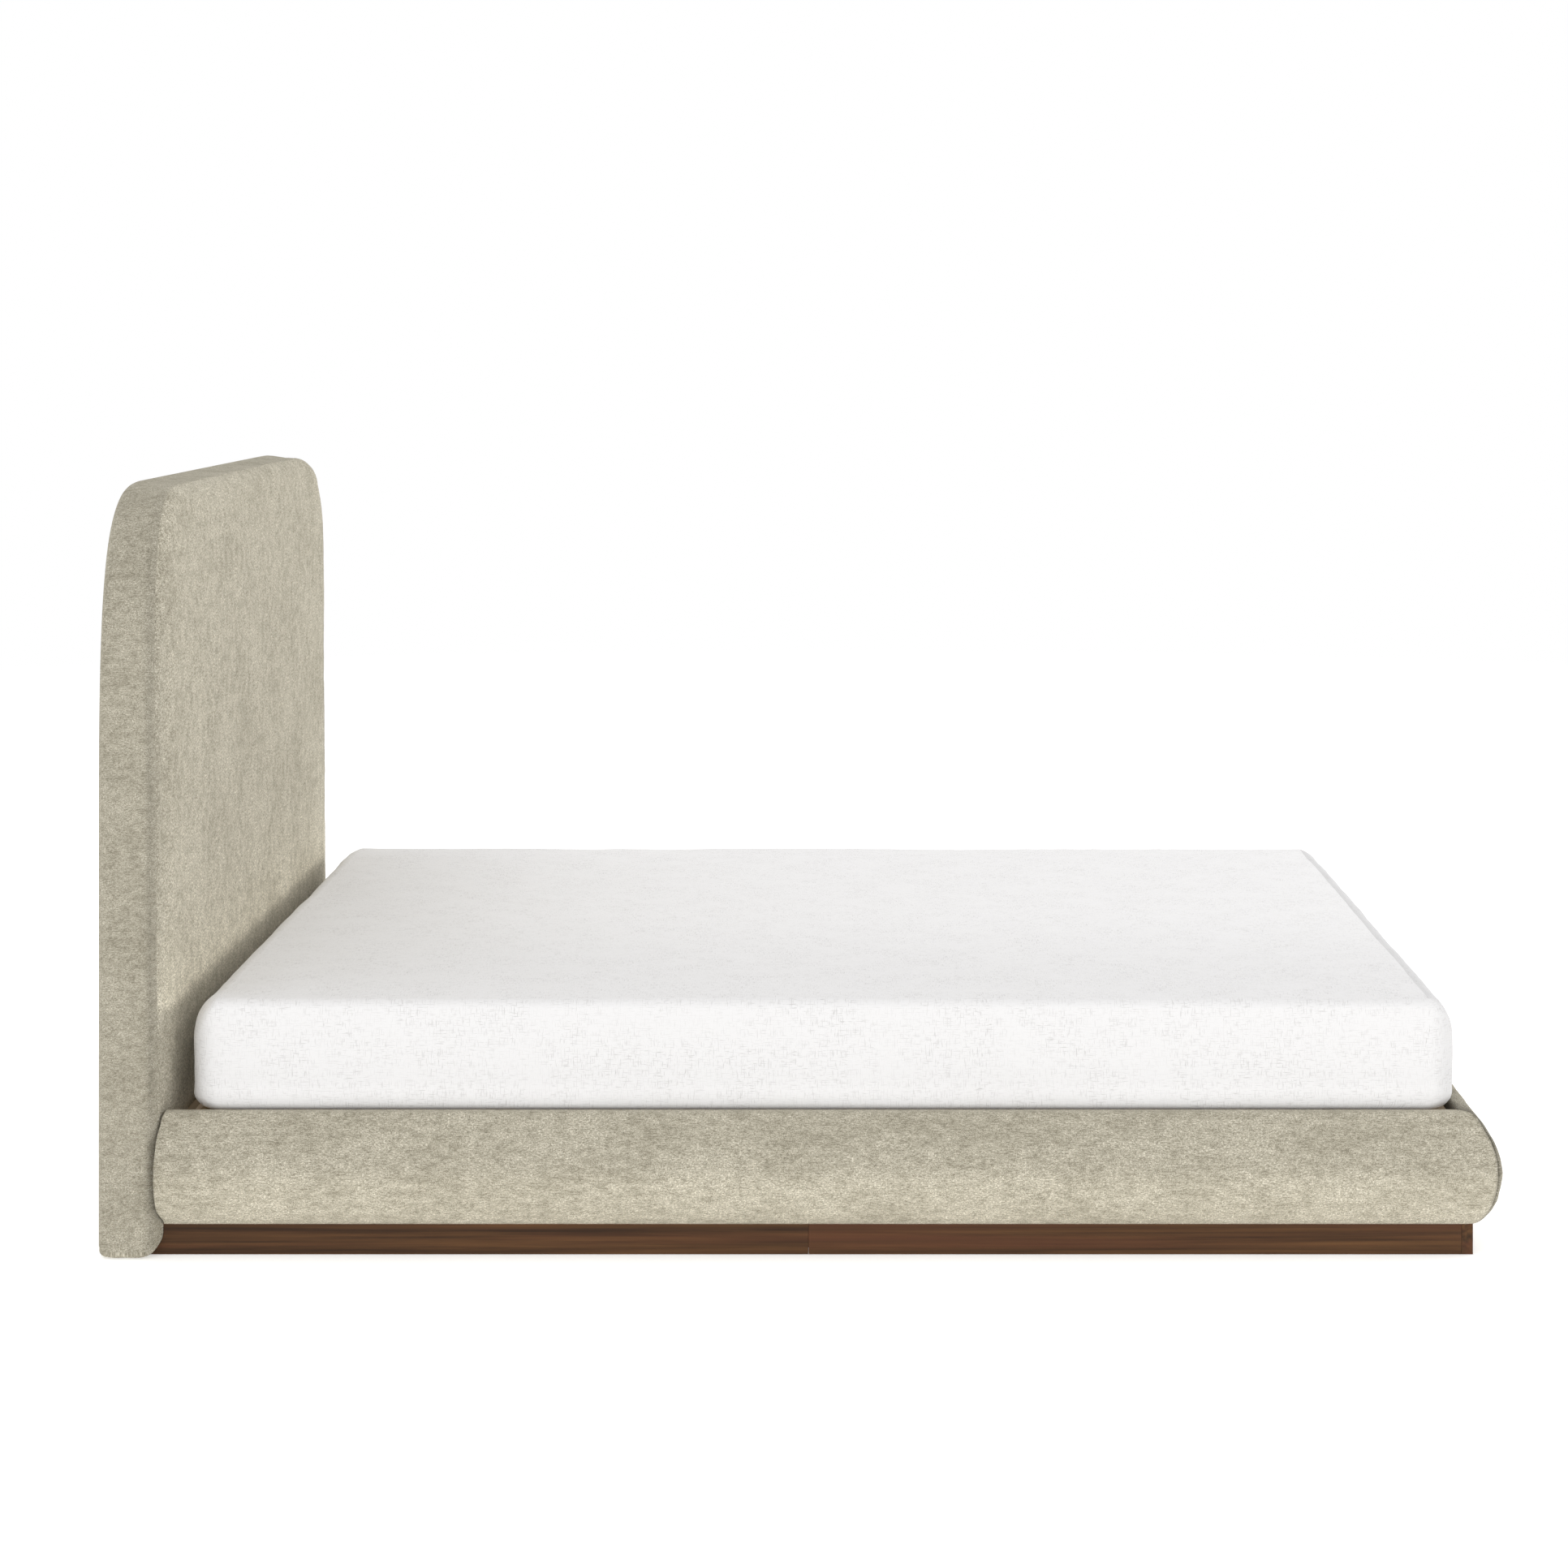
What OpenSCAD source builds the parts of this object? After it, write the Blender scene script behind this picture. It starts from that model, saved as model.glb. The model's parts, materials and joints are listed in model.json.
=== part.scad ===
// Low upholstered platform bed with its mattress: a padded headboard that stands on the floor,
// padded side and foot rails with a bulging face, and a recessed timber plinth.
// Millimetres, +Z up. The origin is on the floor under the middle of the bed. +X points to the
// foot end, and -Y is the left side for someone who stands at the foot and faces the headboard.

/* [Mattress] */
// Mattress length
mat_l = 2032; // [1880:4:2040]
// Mattress width
mat_w = 1524; // [1370:2:1540]
// Mattress thickness
mat_h = 188; // [160:2:300]
// Plan radius of the mattress corners
mat_corner_r = 43; // [42:1:90]
// Rounding of the mattress's top edge
mat_top_r = 40; // [20:1:42]
// Rounding of the mattress's bottom edge
mat_low_r = 30; // [15:1:42]
// Gap between the mattress and the headboard
head_gap = 40.5; // [36:0.5:60]
// Gap between the mattress and the foot rail
foot_gap = 3; // [2:0.5:10]
// Gap between the mattress and each side rail
side_gap = 2; // [1:0.5:10]

/* [Headboard] */
// Headboard width
head_w = 1635; // [1620:1:1652]
// Height of the headboard's top edge above the floor
head_h = 1230; // [1100:10:1400]
// Headboard thickness, front to back
head_t = 100; // [94:1:120]
// How far a top corner reaches across the headboard
head_corner_w = 300; // [250:10:400]
// How far a top corner reaches down the headboard
head_corner_h = 600; // [450:10:700]
// Squareness of a top corner, where 2 is an ellipse
head_corner_n = 3.5; // [2.6:0.1:4]
// Rounding of the front edge
head_front_r = 35; // [25:1:38]
// Rounding of the back edge
head_rear_r = 12; // [11:1:14]

/* [Rails] */
// Height of the rails' top edge above the floor
rail_top = 228; // [222:1:240]
// Width of a rail across its flat top
rail_wall = 24; // [24:1:28]
// How far a rail's face bulges out
bulge_out = 40.5; // [30:0.5:50]
// Height of the widest line of the bulge
bulge_z = 138; // [130:1:150]
// Rounding of a rail's top outer edge
rail_top_r = 9; // [6:0.5:10]
// Depth of the slat deck below the rails' top edge
deck_drop = 14; // [8:1:16]

/* [Plinth] */
// Plinth height
plinth_h = 51; // [48:1:56]
// Thickness of the plinth boards
plinth_t = 18; // [16:1:20]
// Where the two boards of a plinth side meet, from the middle of the bed
splice_x = 14.3; // [-80:0.1:80]

/* [Deck] */
// Number of slats
slat_n = 14; // [12:1:16]
// Width of a slat
slat_w = 70; // [60:2:80]
// Thickness of a slat
slat_t = 20; // [18:1:20]
// Height of the centre beam
beam_h = 90; // [80:5:95]

/* [Hidden] */
$fn = 48;

// Colours
oatmeal = [0.72, 0.69, 0.61];
foam_cream = [0.93, 0.88, 0.72];
walnut = [0.33, 0.23, 0.16];
pine = [0.84, 0.70, 0.50];
birch = [0.87, 0.77, 0.60];
zinc = [0.75, 0.76, 0.78];
linen_white = [0.96, 0.96, 0.95];
nylon_black = [0.10, 0.10, 0.11];

// Materials' thicknesses and the gap left around foam
cover_t = 2;
foam_gap = 0.3;
board_t = 18;
eps = 1;
// Radial clearances: threads, wood screws and inserts, and bolts that pass through
thread_fit = 0.05;
snug_fit = 0.1;
bolt_fit = 0.5;

// Places along X: the headboard, the mattress and the foot rail
bed_l = head_t + head_gap + mat_l + foot_gap + rail_wall + bulge_out;
head_back_x = -bed_l / 2;
head_front_x = head_back_x + head_t;
mat_head_x = head_front_x + head_gap;
mat_foot_x = mat_head_x + mat_l;
foot_x = mat_foot_x + foot_gap + rail_wall;
// Side rails' nominal face, where their flat top ends, and the boards' inner faces
side_y = mat_w / 2 + side_gap + rail_wall;
board_in_y = side_y - rail_wall + cover_t;
board_in_x = foot_x - rail_wall + cover_t;
// Offset of a board's outer face from the nominal face
board_out_u = cover_t + board_t - rail_wall;
board_in_u = cover_t - rail_wall;
board_low_z = plinth_h + cover_t;
// Gap in the rails' mitres, the reach of the cutting plans, and the rails' gap to the headboard
mitre_gap = 0.42;
mitre_span = 80;
head_fit = 0.5;
head_lap = 10;

// Layers of the headboard, back to front
head_lift = 2;
flange_x = head_back_x + cover_t;
back_panel_x = flange_x + cover_t;
back_panel_t = 9;
timber_x = back_panel_x + back_panel_t;
timber_t = 45;
front_panel_x = timber_x + timber_t;
front_panel_t = 12;
head_foam_x = front_panel_x + front_panel_t;
core_inset = 14;
core_low = 3.2;
rim_w = 36;
head_low_r = 10;
back_opening = head_rear_r + 20;
corner_steps = 14;
// Upright posts in the headboard
post_y = 640;
post_w = 70;
post_mid_y = post_y + post_w / 2;
crossrail_top_z = head_h - 72;
crossrail_w = 70;
crossrail_low_z = head_lift + 30;
// Glides nailed under the posts
glide_r = 14;
glide_nail_r = 1.5;
glide_nail_l = 22;

// Deck levels
deck_z = rail_top - deck_drop;
slat_low_z = deck_z - slat_t;
ledger_w = 27;
ledger_h = 45;
ledger_y = board_in_y - ledger_w;
head_rail_t = 18;
head_rail_x = head_front_x + head_fit;
head_rail_in_x = head_rail_x + head_rail_t;
flap_z = slat_low_z + cover_t;
slat_half = side_y - rail_wall - 2.5;
slat_head_gap = 38;
slat_foot_gap = 42;
slat_first_x = mat_head_x + slat_head_gap;
slat_pitch = (board_in_x - slat_foot_gap - slat_first_x) / (slat_n - 1);
slat_screw_y = board_in_y - ledger_w / 2;
webbing_y = 500;
webbing_w = 40;
webbing_t = 1.5;

// Centre beam, its saddles, legs and levellers
beam_w = 38;
saddle_t = 3;
saddle_l = 50;
saddle_ear = 24;
saddle_drop = 25;
saddle_screw_in = [15, 20];
beam_head_x = head_rail_in_x + saddle_t;
beam_foot_x = board_in_x - saddle_t;
beam_low_z = slat_low_z - beam_h;
leg_w = 45;
leg_low_z = 26;
leg_x = [-660, 30, 720];
stud_r = 3.95;
stud_l = 40;
stud_low_z = 3;
stud_hole_l = 36;
stud_hex_r = 7.5;
stud_hex_h = 4;
pad_r = 16;
pad_h = 8;
pad_rim_h = 3;
pad_top_r = 11;
insert_r = 6;
insert_l = 14;
dowel_r = 6;
dowel_l = 45;
dowel_in = 20;
dowel_room = 5;

// Plinth
plinth_in_y = side_y - plinth_t;
plinth_in_x = foot_x - plinth_t;
joint_gap = 0.5;
bar_low_z = 6;
bar_w = 45;
crossbar_x = [-320, 375];
head_bar_x = head_rail_x + 2 * cover_t;
head_bar_t = 18;
block_w = 40;
splice_half = 100;
splice_t = 18;

// Fasteners
bolt_r = 4;
bolt_head_r = 7.5;
bolt_head_h = 5.5;
washer_r = 8;
washer_t = 1.6;
tnut_r = 5;
tnut_l = 12;
tnut_flange_r = 11;
tnut_flange_t = 1.5;
plate_t = 3;
bracket_leg = 70;
bracket_low_z = 65;
bracket_h = 80;
bracket_bolt_z = [85, 125];
bracket_bolt_in = 45;
head_bolt_z = [90, 150];
head_bolt_l = 78;
head_insert_l = 16;
ledger_screw_r = 2.5;
slat_screw_r = 2;
long_screw_l = 38;
short_screw_l = 14;
screw_rim = 0.3;
bolt_tip_in = 0.5;
ledger_screw_x = [-880, -577, -273, 30, 334, 637, 940];

// Points on an arc about [x, y]
function arc(x, y, r, a0, a1, n) =
    [for (i = [0 : n]) let (a = a0 + (a1 - a0) * i / n) [x + r * cos(a), y + r * sin(a)]];

function reversed(list) = [for (i = [len(list) - 1 : -1 : 0]) list[i]];

function both_halves(half) = concat(half, [for (p = reversed(half)) [-p[0], p[1]]]);

// A point on the headboard's superellipse corner at angle t, moved in by d
function head_corner(t, d) =
    let (x = head_corner_w * pow(cos(t), 2 / head_corner_n),
         z = head_corner_h * pow(sin(t), 2 / head_corner_n),
         nx = pow(x / head_corner_w, head_corner_n - 1) / head_corner_w,
         nz = pow(z / head_corner_h, head_corner_n - 1) / head_corner_h,
         m = norm([nx, nz]))
    [head_w / 2 - head_corner_w + x - d * nx / m, head_h - head_corner_h + z - d * nz / m];

// Headboard outline across Y and Z, moved in by d at the sides and top and by low at the bottom
function head_outline(d, low) =
    let (r = max(head_low_r - d, 1))
    both_halves(concat(
        arc(head_w / 2 - d - r, head_lift + low + r, r, -90, 0, 3),
        [for (i = [0 : corner_steps]) head_corner(90 * i / corner_steps, d)]));

function head_ring(x, d) = [for (p = head_outline(d, d)) [x, p[0], p[1]]];

// Rings of the padded headboard from back to front, d inside its fabric's outer face
function head_rings(d) =
    let (rear = head_rear_r - d, front = head_front_r - d)
    concat(
        [for (p = arc(0, 0, rear, 180, 90, 3))
            head_ring(flange_x + head_rear_r + p[0], head_rear_r - p[1])],
        [for (p = arc(0, 0, front, 90, 0, 5))
            head_ring(head_front_x - head_front_r + p[0], head_front_r - p[1])]);

// How far a rail's face stands out at height z
function bulge(z) =
    z > bulge_z
        ? bulge_out * (1 - pow((z - bulge_z) / (rail_top - bulge_z), 2))
        : bulge_out * pow(1 - pow((bulge_z - z) / (bulge_z - plinth_h + 1), 2), 0.7);

// A point on the rail's face at height z, moved in by d
function rail_point(z, d) =
    let (step = 0.05,
         m = (bulge(z + step) - bulge(z - step)) / (2 * step),
         n = norm([1, m]))
    [bulge(z) - d / n, z + d * m / n];

// The rail's section from its rounded top edge down to the plinth, moved in by d
top_turn = atan((rail_top - bulge_z) / (2 * bulge_out));
face_top_z = rail_top - rail_top_r * (1 - cos(top_turn));
face_low_turn = asin((bulge_z - plinth_h) / (bulge_z - plinth_h + 1));
function rail_edge(d, first = 0) =
    concat(
        [for (i = [first : 3]) let (a = 90 - top_turn * i / 3)
            [-rail_top_r * tan(top_turn / 2) + (rail_top_r - d) * cos(a),
             rail_top - rail_top_r + (rail_top_r - d) * sin(a)]],
        [for (i = [1 : 7]) rail_point(face_top_z - (face_top_z - bulge_z) * i / 7, d)],
        [for (i = [1 : 8]) rail_point(bulge_z - (bulge_z - plinth_h + 1) * sin(face_low_turn * i / 8), d)]);

// Rounded rectangle of the mattress in plan, moved in by d
function mat_ring(z, d) =
    let (r = max(mat_corner_r - d, 1),
         x = mat_l / 2 - d - r,
         y = mat_w / 2 - d - r,
         mid = (mat_head_x + mat_foot_x) / 2)
    [for (q = [[x, y, 0], [-x, y, 90], [-x, -y, 180], [x, -y, 270]])
        for (p = arc(q[0], q[1], r, q[2], q[2] + 90, 6)) [mid + p[0], p[1], z]];

mat_low_z = deck_z + foam_gap;
base_share = 0.62;
mat_split_z = mat_low_z + mat_h * base_share;

function mat_low_rings(d) =
    [for (p = arc(0, 0, mat_low_r - d, -90, 0, 4)) mat_ring(mat_low_z + mat_low_r + p[1], mat_low_r - p[0])];

function mat_top_rings(d) =
    [for (p = arc(0, 0, mat_top_r - d, 0, 90, 5))
        mat_ring(mat_low_z + mat_h - mat_top_r + p[1], mat_top_r - p[0])];

// A closed skin over rings that have the same number of points
module loft(rings) {
    n = len(rings[0]);
    last = len(rings) - 1;
    polyhedron(
        points = [for (ring = rings) each ring],
        faces = concat(
            [[for (j = [0 : n - 1]) j]],
            [[for (j = [n - 1 : -1 : 0]) last * n + j]],
            [for (i = [0 : last - 1], j = [0 : n - 1]) let (k = (j + 1) % n, low = i * n, high = low + n)
                each [[high + k, low + k, low + j], [high + j, high + k, low + j]]]));
}

// A box between two corners
module box(low, high) {
    translate(low) cube(high - low);
}

// The children, and their mirror image across the bed's middle plane
module on_both_sides() {
    children();
    mirror([0, 1, 0]) children();
}

// Turns the children's +Z to the given direction
module facing_out() {
    rotate([-90, 0, 0]) children();
}

module facing_foot() {
    rotate([0, 90, 0]) children();
}

module facing_head() {
    rotate([0, -90, 0]) children();
}

module facing_down() {
    rotate([180, 0, 0]) children();
}

// A section in the YZ plane, drawn out along X
module along_x(x0, x1) {
    translate([x0, 0, 0]) rotate([90, 0, 90]) linear_extrude(x1 - x0) children();
}

module head_prism(d, low, x0, x1) {
    along_x(x0, x1) polygon(head_outline(d, low));
}

// Countersunk screw with its head's face at the origin and its tip on +Z
module screw(r, l, grow = 0) {
    rotate_extrude() polygon([[0, -grow], [2 * r + grow, -grow], [2 * r + grow, screw_rim],
        [r + grow, screw_rim + r], [r + grow, l - r], [0, l + grow]]);
}

module hex_bolt(l) {
    translate([0, 0, -bolt_head_h]) cylinder(r = bolt_head_r, h = bolt_head_h, $fn = 6);
    cylinder(r = bolt_r, h = l);
}

module washer() {
    difference() {
        cylinder(r = washer_r, h = washer_t);
        translate([0, 0, -eps]) cylinder(r = bolt_r + 2 * snug_fit, h = washer_t + 2 * eps);
    }
}

// T-nut with the free face of its flange at the origin and its barrel on +Z
module tnut() {
    difference() {
        union() {
            cylinder(r = tnut_flange_r, h = tnut_flange_t);
            cylinder(r = tnut_r, h = tnut_l);
        }
        translate([0, 0, -eps]) cylinder(r = bolt_r + thread_fit, h = tnut_l + 2 * eps);
    }
}

// What a bolt and its T-nut take out of a board whose near face is at the origin
module tnut_hole() {
    translate([0, 0, -eps]) cylinder(r = tnut_r + snug_fit, h = board_t + 2 * eps);
    translate([0, 0, board_t - tnut_flange_t])
        cylinder(r = tnut_flange_r + 2 * snug_fit, h = tnut_flange_t + eps);
}

// Bolt places on the right-hand brackets; the children's origin is the board's inner face
module side_bolt_places() {
    for (x = [head_rail_in_x + bracket_bolt_in, board_in_x - bracket_bolt_in], z = bracket_bolt_z)
        translate([x, board_in_y, z]) facing_out() children();
}

module foot_bolt_places() {
    for (z = bracket_bolt_z)
        translate([board_in_x, board_in_y - bracket_bolt_in, z]) facing_foot() children();
}

module head_rail_bolt_places() {
    for (z = bracket_bolt_z)
        translate([head_rail_in_x, board_in_y - bracket_bolt_in, z]) facing_head() children();
}

module all_bracket_bolts() {
    on_both_sides() {
        side_bolt_places() children();
        foot_bolt_places() children();
        head_rail_bolt_places() children();
    }
}

// Long bolts from the head rail into the headboard's posts
module head_bolt_places() {
    on_both_sides()
        for (z = head_bolt_z)
            translate([head_rail_in_x, post_mid_y, z]) facing_head() children();
}

module head_bolt_holes() {
    head_bolt_places() translate([0, 0, -eps]) cylinder(r = bolt_r + bolt_fit, h = head_bolt_l + 3);
}

// Headboard

module glide_places() {
    on_both_sides() translate([timber_x + timber_t / 2, post_mid_y, 0]) children();
}

module headboard_posts() {
    color(pine)
    difference() {
        intersection() {
            on_both_sides() box([timber_x, post_y, 0], [front_panel_x, post_y + post_w, head_h]);
            head_prism(core_inset + rim_w, core_low, timber_x - eps, front_panel_x + eps);
        }
        head_bolt_holes();
        head_bolt_places() translate([0, 0, head_bolt_l - head_insert_l - eps])
            cylinder(r = insert_r + snug_fit, h = head_insert_l + 2 * eps);
        glide_places() cylinder(r = glide_nail_r + snug_fit, h = glide_nail_l + 2);
    }
}

module headboard_crossrails() {
    color(pine)
    for (z = [crossrail_low_z, slat_low_z, head_h / 2, crossrail_top_z - crossrail_w])
        box([timber_x, -post_y, z], [front_panel_x, post_y, z + crossrail_w]);
}

module headboard_rim() {
    color(birch)
    difference() {
        head_prism(core_inset, core_low, timber_x, front_panel_x);
        head_prism(core_inset + rim_w, -eps, timber_x - eps, front_panel_x + eps);
    }
}

module headboard_front_panel() {
    color(birch)
    difference() {
        head_prism(core_inset, core_low, front_panel_x, head_foam_x);
        head_bolt_holes();
    }
}

module headboard_back_panel() {
    color(birch) head_prism(core_inset, core_inset, back_panel_x, timber_x);
}

module headboard_foam() {
    color(foam_cream)
    difference() {
        loft(head_rings(cover_t + foam_gap));
        head_prism(core_inset, -2 * head_lift, flange_x - eps, head_foam_x);
        head_bolt_holes();
    }
}

module headboard_cover() {
    color(oatmeal)
    difference() {
        loft(head_rings(0));
        loft(head_rings(cover_t));
        head_prism(back_opening, back_opening, flange_x - eps, back_panel_x + eps);
        head_bolt_holes();
        glide_places() cylinder(r = glide_nail_r + snug_fit, h = glide_nail_l + 2);
    }
}

module headboard_back_cloth() {
    color(oatmeal) head_prism(core_inset, core_inset, head_back_x, flange_x);
}

module headboard_glides() {
    color(nylon_black)
    glide_places() {
        cylinder(r = glide_r, h = head_lift);
        cylinder(r = glide_nail_r, h = glide_nail_l);
    }
}

module headboard_bolts() {
    color(zinc) head_bolt_places() translate([0, 0, -washer_t]) hex_bolt(head_bolt_l);
}

module headboard_inserts() {
    color(zinc)
    head_bolt_places() translate([0, 0, head_bolt_l - head_insert_l - eps / 2])
        difference() {
            cylinder(r = insert_r, h = head_insert_l);
            translate([0, 0, -eps]) cylinder(r = bolt_r + thread_fit, h = head_insert_l + 2 * eps);
        }
}

// Rails

// Space that the headboard takes from a right-hand rail, with its rounded front edge
module head_clear() {
    edge_x = head_front_x - head_front_r;
    edge_y = head_w / 2 - head_front_r;
    far_x = head_back_x - eps;
    linear_extrude(rail_top + eps) {
        translate([far_x, 0]) square([edge_x - far_x, head_w / 2 + head_fit]);
        translate([far_x, 0]) square([head_rail_x - far_x, edge_y]);
        translate([edge_x, edge_y]) circle(r = head_front_r + head_fit);
    }
}

// Everything inside the plan lines of a right-hand rail, with its mitred foot end
module side_plan() {
    y0 = side_y - mitre_span;
    y1 = side_y + mitre_span;
    linear_extrude(rail_top + eps)
        polygon([[head_front_x - head_lap, y0], [foot_x - mitre_span - mitre_gap, y0],
            [foot_x + mitre_span - mitre_gap, y1], [head_front_x - head_lap, y1]]);
}

module foot_plan() {
    y0 = side_y - mitre_span - mitre_gap;
    y1 = side_y + mitre_span - mitre_gap;
    linear_extrude(rail_top + eps)
        polygon([[foot_x - mitre_span, y0], [foot_x + mitre_span, y1],
            [foot_x + mitre_span, -y1], [foot_x - mitre_span, -y0]]);
}

// A section drawn out as a right-hand rail; the section's x runs out from the nominal face
module side_rail() {
    difference() {
        intersection() {
            along_x(head_front_x - 2 * head_lap, foot_x + mitre_span) translate([side_y, 0]) children();
            side_plan();
        }
        head_clear();
    }
}

module foot_rail() {
    intersection() {
        translate([foot_x, side_y + mitre_span, 0]) rotate([90, 0, 0])
            linear_extrude(2 * (side_y + mitre_span)) children();
        foot_plan();
    }
}

module board_section() {
    polygon([[board_in_u, board_low_z], [board_out_u, board_low_z],
        [board_out_u, rail_top - cover_t], [board_in_u, rail_top - cover_t]]);
}

module foam_section() {
    d = cover_t + foam_gap;
    polygon(concat([[board_out_u, rail_top - d]], rail_edge(d, 1), [[board_out_u, plinth_h + d]]));
}

// Fabric from a flap inside the rail, over its top, down its face and under its bottom edge
module cover_section() {
    hem_u = board_in_u + cover_t;
    polygon(concat(
        [[-rail_wall, flap_z]],
        arc(board_in_u, rail_top - cover_t, cover_t, 180, 90, 3),
        rail_edge(0),
        [[hem_u, plinth_h], [hem_u, board_low_z]],
        reversed(rail_edge(cover_t)),
        [[board_in_u, rail_top - cover_t], [board_in_u, flap_z]]));
}

module side_board() {
    color(pine)
    difference() {
        side_rail() board_section();
        side_bolt_places() tnut_hole();
        ledger_screw_places() screw(ledger_screw_r, long_screw_l + 2, snug_fit);
    }
}

module side_foam() {
    color(foam_cream) side_rail() foam_section();
}

module side_cover() {
    color(oatmeal) side_rail() cover_section();
}

module foot_board() {
    color(pine)
    difference() {
        foot_rail() board_section();
        on_both_sides() foot_bolt_places() tnut_hole();
        beam_screw_places() screw(slat_screw_r, short_screw_l + 1, snug_fit);
    }
}

module foot_foam() {
    color(foam_cream) foot_rail() foam_section();
}

module foot_cover() {
    color(oatmeal) foot_rail() cover_section();
}

module ledger_screw_places() {
    for (x = ledger_screw_x)
        translate([x, ledger_y, slat_low_z - ledger_h / 2]) facing_out() children();
}

module slat_screw_places() {
    for (i = [0 : slat_n - 1])
        translate([slat_first_x + i * slat_pitch, slat_screw_y, deck_z]) facing_down() children();
}

module ledger() {
    color(pine)
    difference() {
        box([head_rail_in_x, ledger_y, slat_low_z - ledger_h], [board_in_x, board_in_y, slat_low_z]);
        ledger_screw_places() screw(ledger_screw_r, long_screw_l + 2, snug_fit);
        slat_screw_places() screw(slat_screw_r, long_screw_l + 2, snug_fit);
    }
}

module head_rail() {
    color(pine)
    difference() {
        box([head_rail_x, -board_in_y, board_low_z], [head_rail_in_x, board_in_y, slat_low_z]);
        on_both_sides() head_rail_bolt_places() tnut_hole();
        head_bolt_holes();
        beam_screw_places() screw(slat_screw_r, short_screw_l + 1, snug_fit);
    }
}

// Plinth

// The headboard's side view with its rounded front bottom edge, as the plinth meets it
module head_foot_clear() {
    edge_x = head_front_x - head_front_r;
    translate([0, side_y + eps, 0]) rotate([90, 0, 0]) linear_extrude(plinth_t + 2 * eps) {
        translate([edge_x, head_lift + head_front_r]) circle(r = head_front_r + head_fit);
        translate([edge_x - mitre_span, -eps]) square([mitre_span, plinth_h + 2 * eps]);
        translate([edge_x, head_lift + head_front_r]) square([head_front_r + head_fit, plinth_h]);
    }
}

module plinth_side_head() {
    color(walnut)
    difference() {
        box([head_front_x - head_front_r, plinth_in_y, 0], [splice_x - joint_gap / 2, side_y, plinth_h]);
        head_foot_clear();
    }
}

module plinth_side_foot() {
    color(walnut)
    box([splice_x + joint_gap / 2, plinth_in_y, 0], [plinth_in_x - joint_gap, side_y, plinth_h]);
}

module plinth_foot() {
    color(walnut) box([plinth_in_x, -side_y, 0], [foot_x, side_y, plinth_h]);
}

module plinth_head_bar() {
    color(pine)
    box([head_bar_x, -plinth_in_y, bar_low_z], [head_bar_x + head_bar_t, plinth_in_y, plinth_h]);
}

module plinth_crossbars() {
    color(pine)
    for (x = crossbar_x)
        box([x - bar_w / 2, -plinth_in_y, bar_low_z], [x + bar_w / 2, plinth_in_y, plinth_h]);
}

module plinth_corner_blocks() {
    color(pine)
    on_both_sides()
        for (x = [head_bar_x + head_bar_t, plinth_in_x - block_w])
            box([x, plinth_in_y - block_w, bar_low_z], [x + block_w, plinth_in_y, plinth_h]);
}

module plinth_splice_blocks() {
    color(pine)
    on_both_sides()
        box([splice_x - splice_half, plinth_in_y - splice_t, bar_low_z],
            [splice_x + splice_half, plinth_in_y, plinth_h - cover_t]);
}

// Blocks that tie the rails' boards down to the plinth's bars
module rail_blocks() {
    color(pine)
    on_both_sides()
        for (x = crossbar_x)
            box([x - bar_w / 2, board_in_y - block_w, plinth_h],
                [x + bar_w / 2, board_in_y, plinth_h + bar_w]);
}

// Deck

module leg_places(stations = leg_x) {
    for (x = stations) translate([x, 0, 0]) children();
}

module centre_beam() {
    color(pine)
    difference() {
        box([beam_head_x, -beam_w / 2, beam_low_z], [beam_foot_x, beam_w / 2, slat_low_z]);
        leg_places() translate([0, 0, beam_low_z - eps])
            cylinder(r = dowel_r + snug_fit, h = eps + dowel_l - dowel_in + dowel_room);
    }
}

// A saddle at the origin that holds a beam end lying on +X
module beam_saddle() {
    half = beam_w / 2;
    low = beam_low_z - saddle_t;
    difference() {
        union() {
            box([0, -half - saddle_ear, low], [saddle_t, half + saddle_ear, slat_low_z - saddle_t]);
            box([0, -half - saddle_t, low], [saddle_l, half + saddle_t, slat_low_z - saddle_drop]);
        }
        box([saddle_t, -half, beam_low_z], [saddle_l + eps, half, slat_low_z]);
        saddle_screw_places() screw(slat_screw_r, short_screw_l + 1, snug_fit);
    }
}

// Screw places on a saddle at the origin, driven towards -X
module saddle_screw_places() {
    on_both_sides()
        for (z = [beam_low_z + saddle_screw_in[0], slat_low_z - saddle_screw_in[1]])
            translate([saddle_t, beam_w / 2 + saddle_ear / 2 + 1, z]) facing_head() children();
}

module at_saddles() {
    translate([head_rail_in_x, 0, 0]) children();
    translate([board_in_x, 0, 0]) mirror([1, 0, 0]) children();
}

module beam_screw_places() {
    at_saddles() saddle_screw_places() children();
}

module beam_brackets() {
    color(zinc) at_saddles() beam_saddle();
}

module support_legs() {
    color(pine)
    difference() {
        leg_places() box([-leg_w / 2, -leg_w / 2, leg_low_z], [leg_w / 2, leg_w / 2, beam_low_z]);
        leg_places() translate([0, 0, leg_low_z - eps]) {
            cylinder(r = stud_r + bolt_fit + snug_fit, h = stud_hole_l);
            cylinder(r = insert_r + snug_fit, h = insert_l + eps);
        }
        leg_places() translate([0, 0, beam_low_z - dowel_in - dowel_room])
            cylinder(r = dowel_r + snug_fit, h = dowel_in + dowel_room + eps);
    }
}

module leg_dowels() {
    color(birch)
    leg_places() translate([0, 0, beam_low_z - dowel_in]) cylinder(r = dowel_r, h = dowel_l);
}

module leg_inserts() {
    color(zinc)
    leg_places() translate([0, 0, leg_low_z])
        difference() {
            cylinder(r = insert_r, h = insert_l);
            translate([0, 0, -eps]) cylinder(r = stud_r + thread_fit, h = insert_l + 2 * eps);
        }
}

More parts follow.
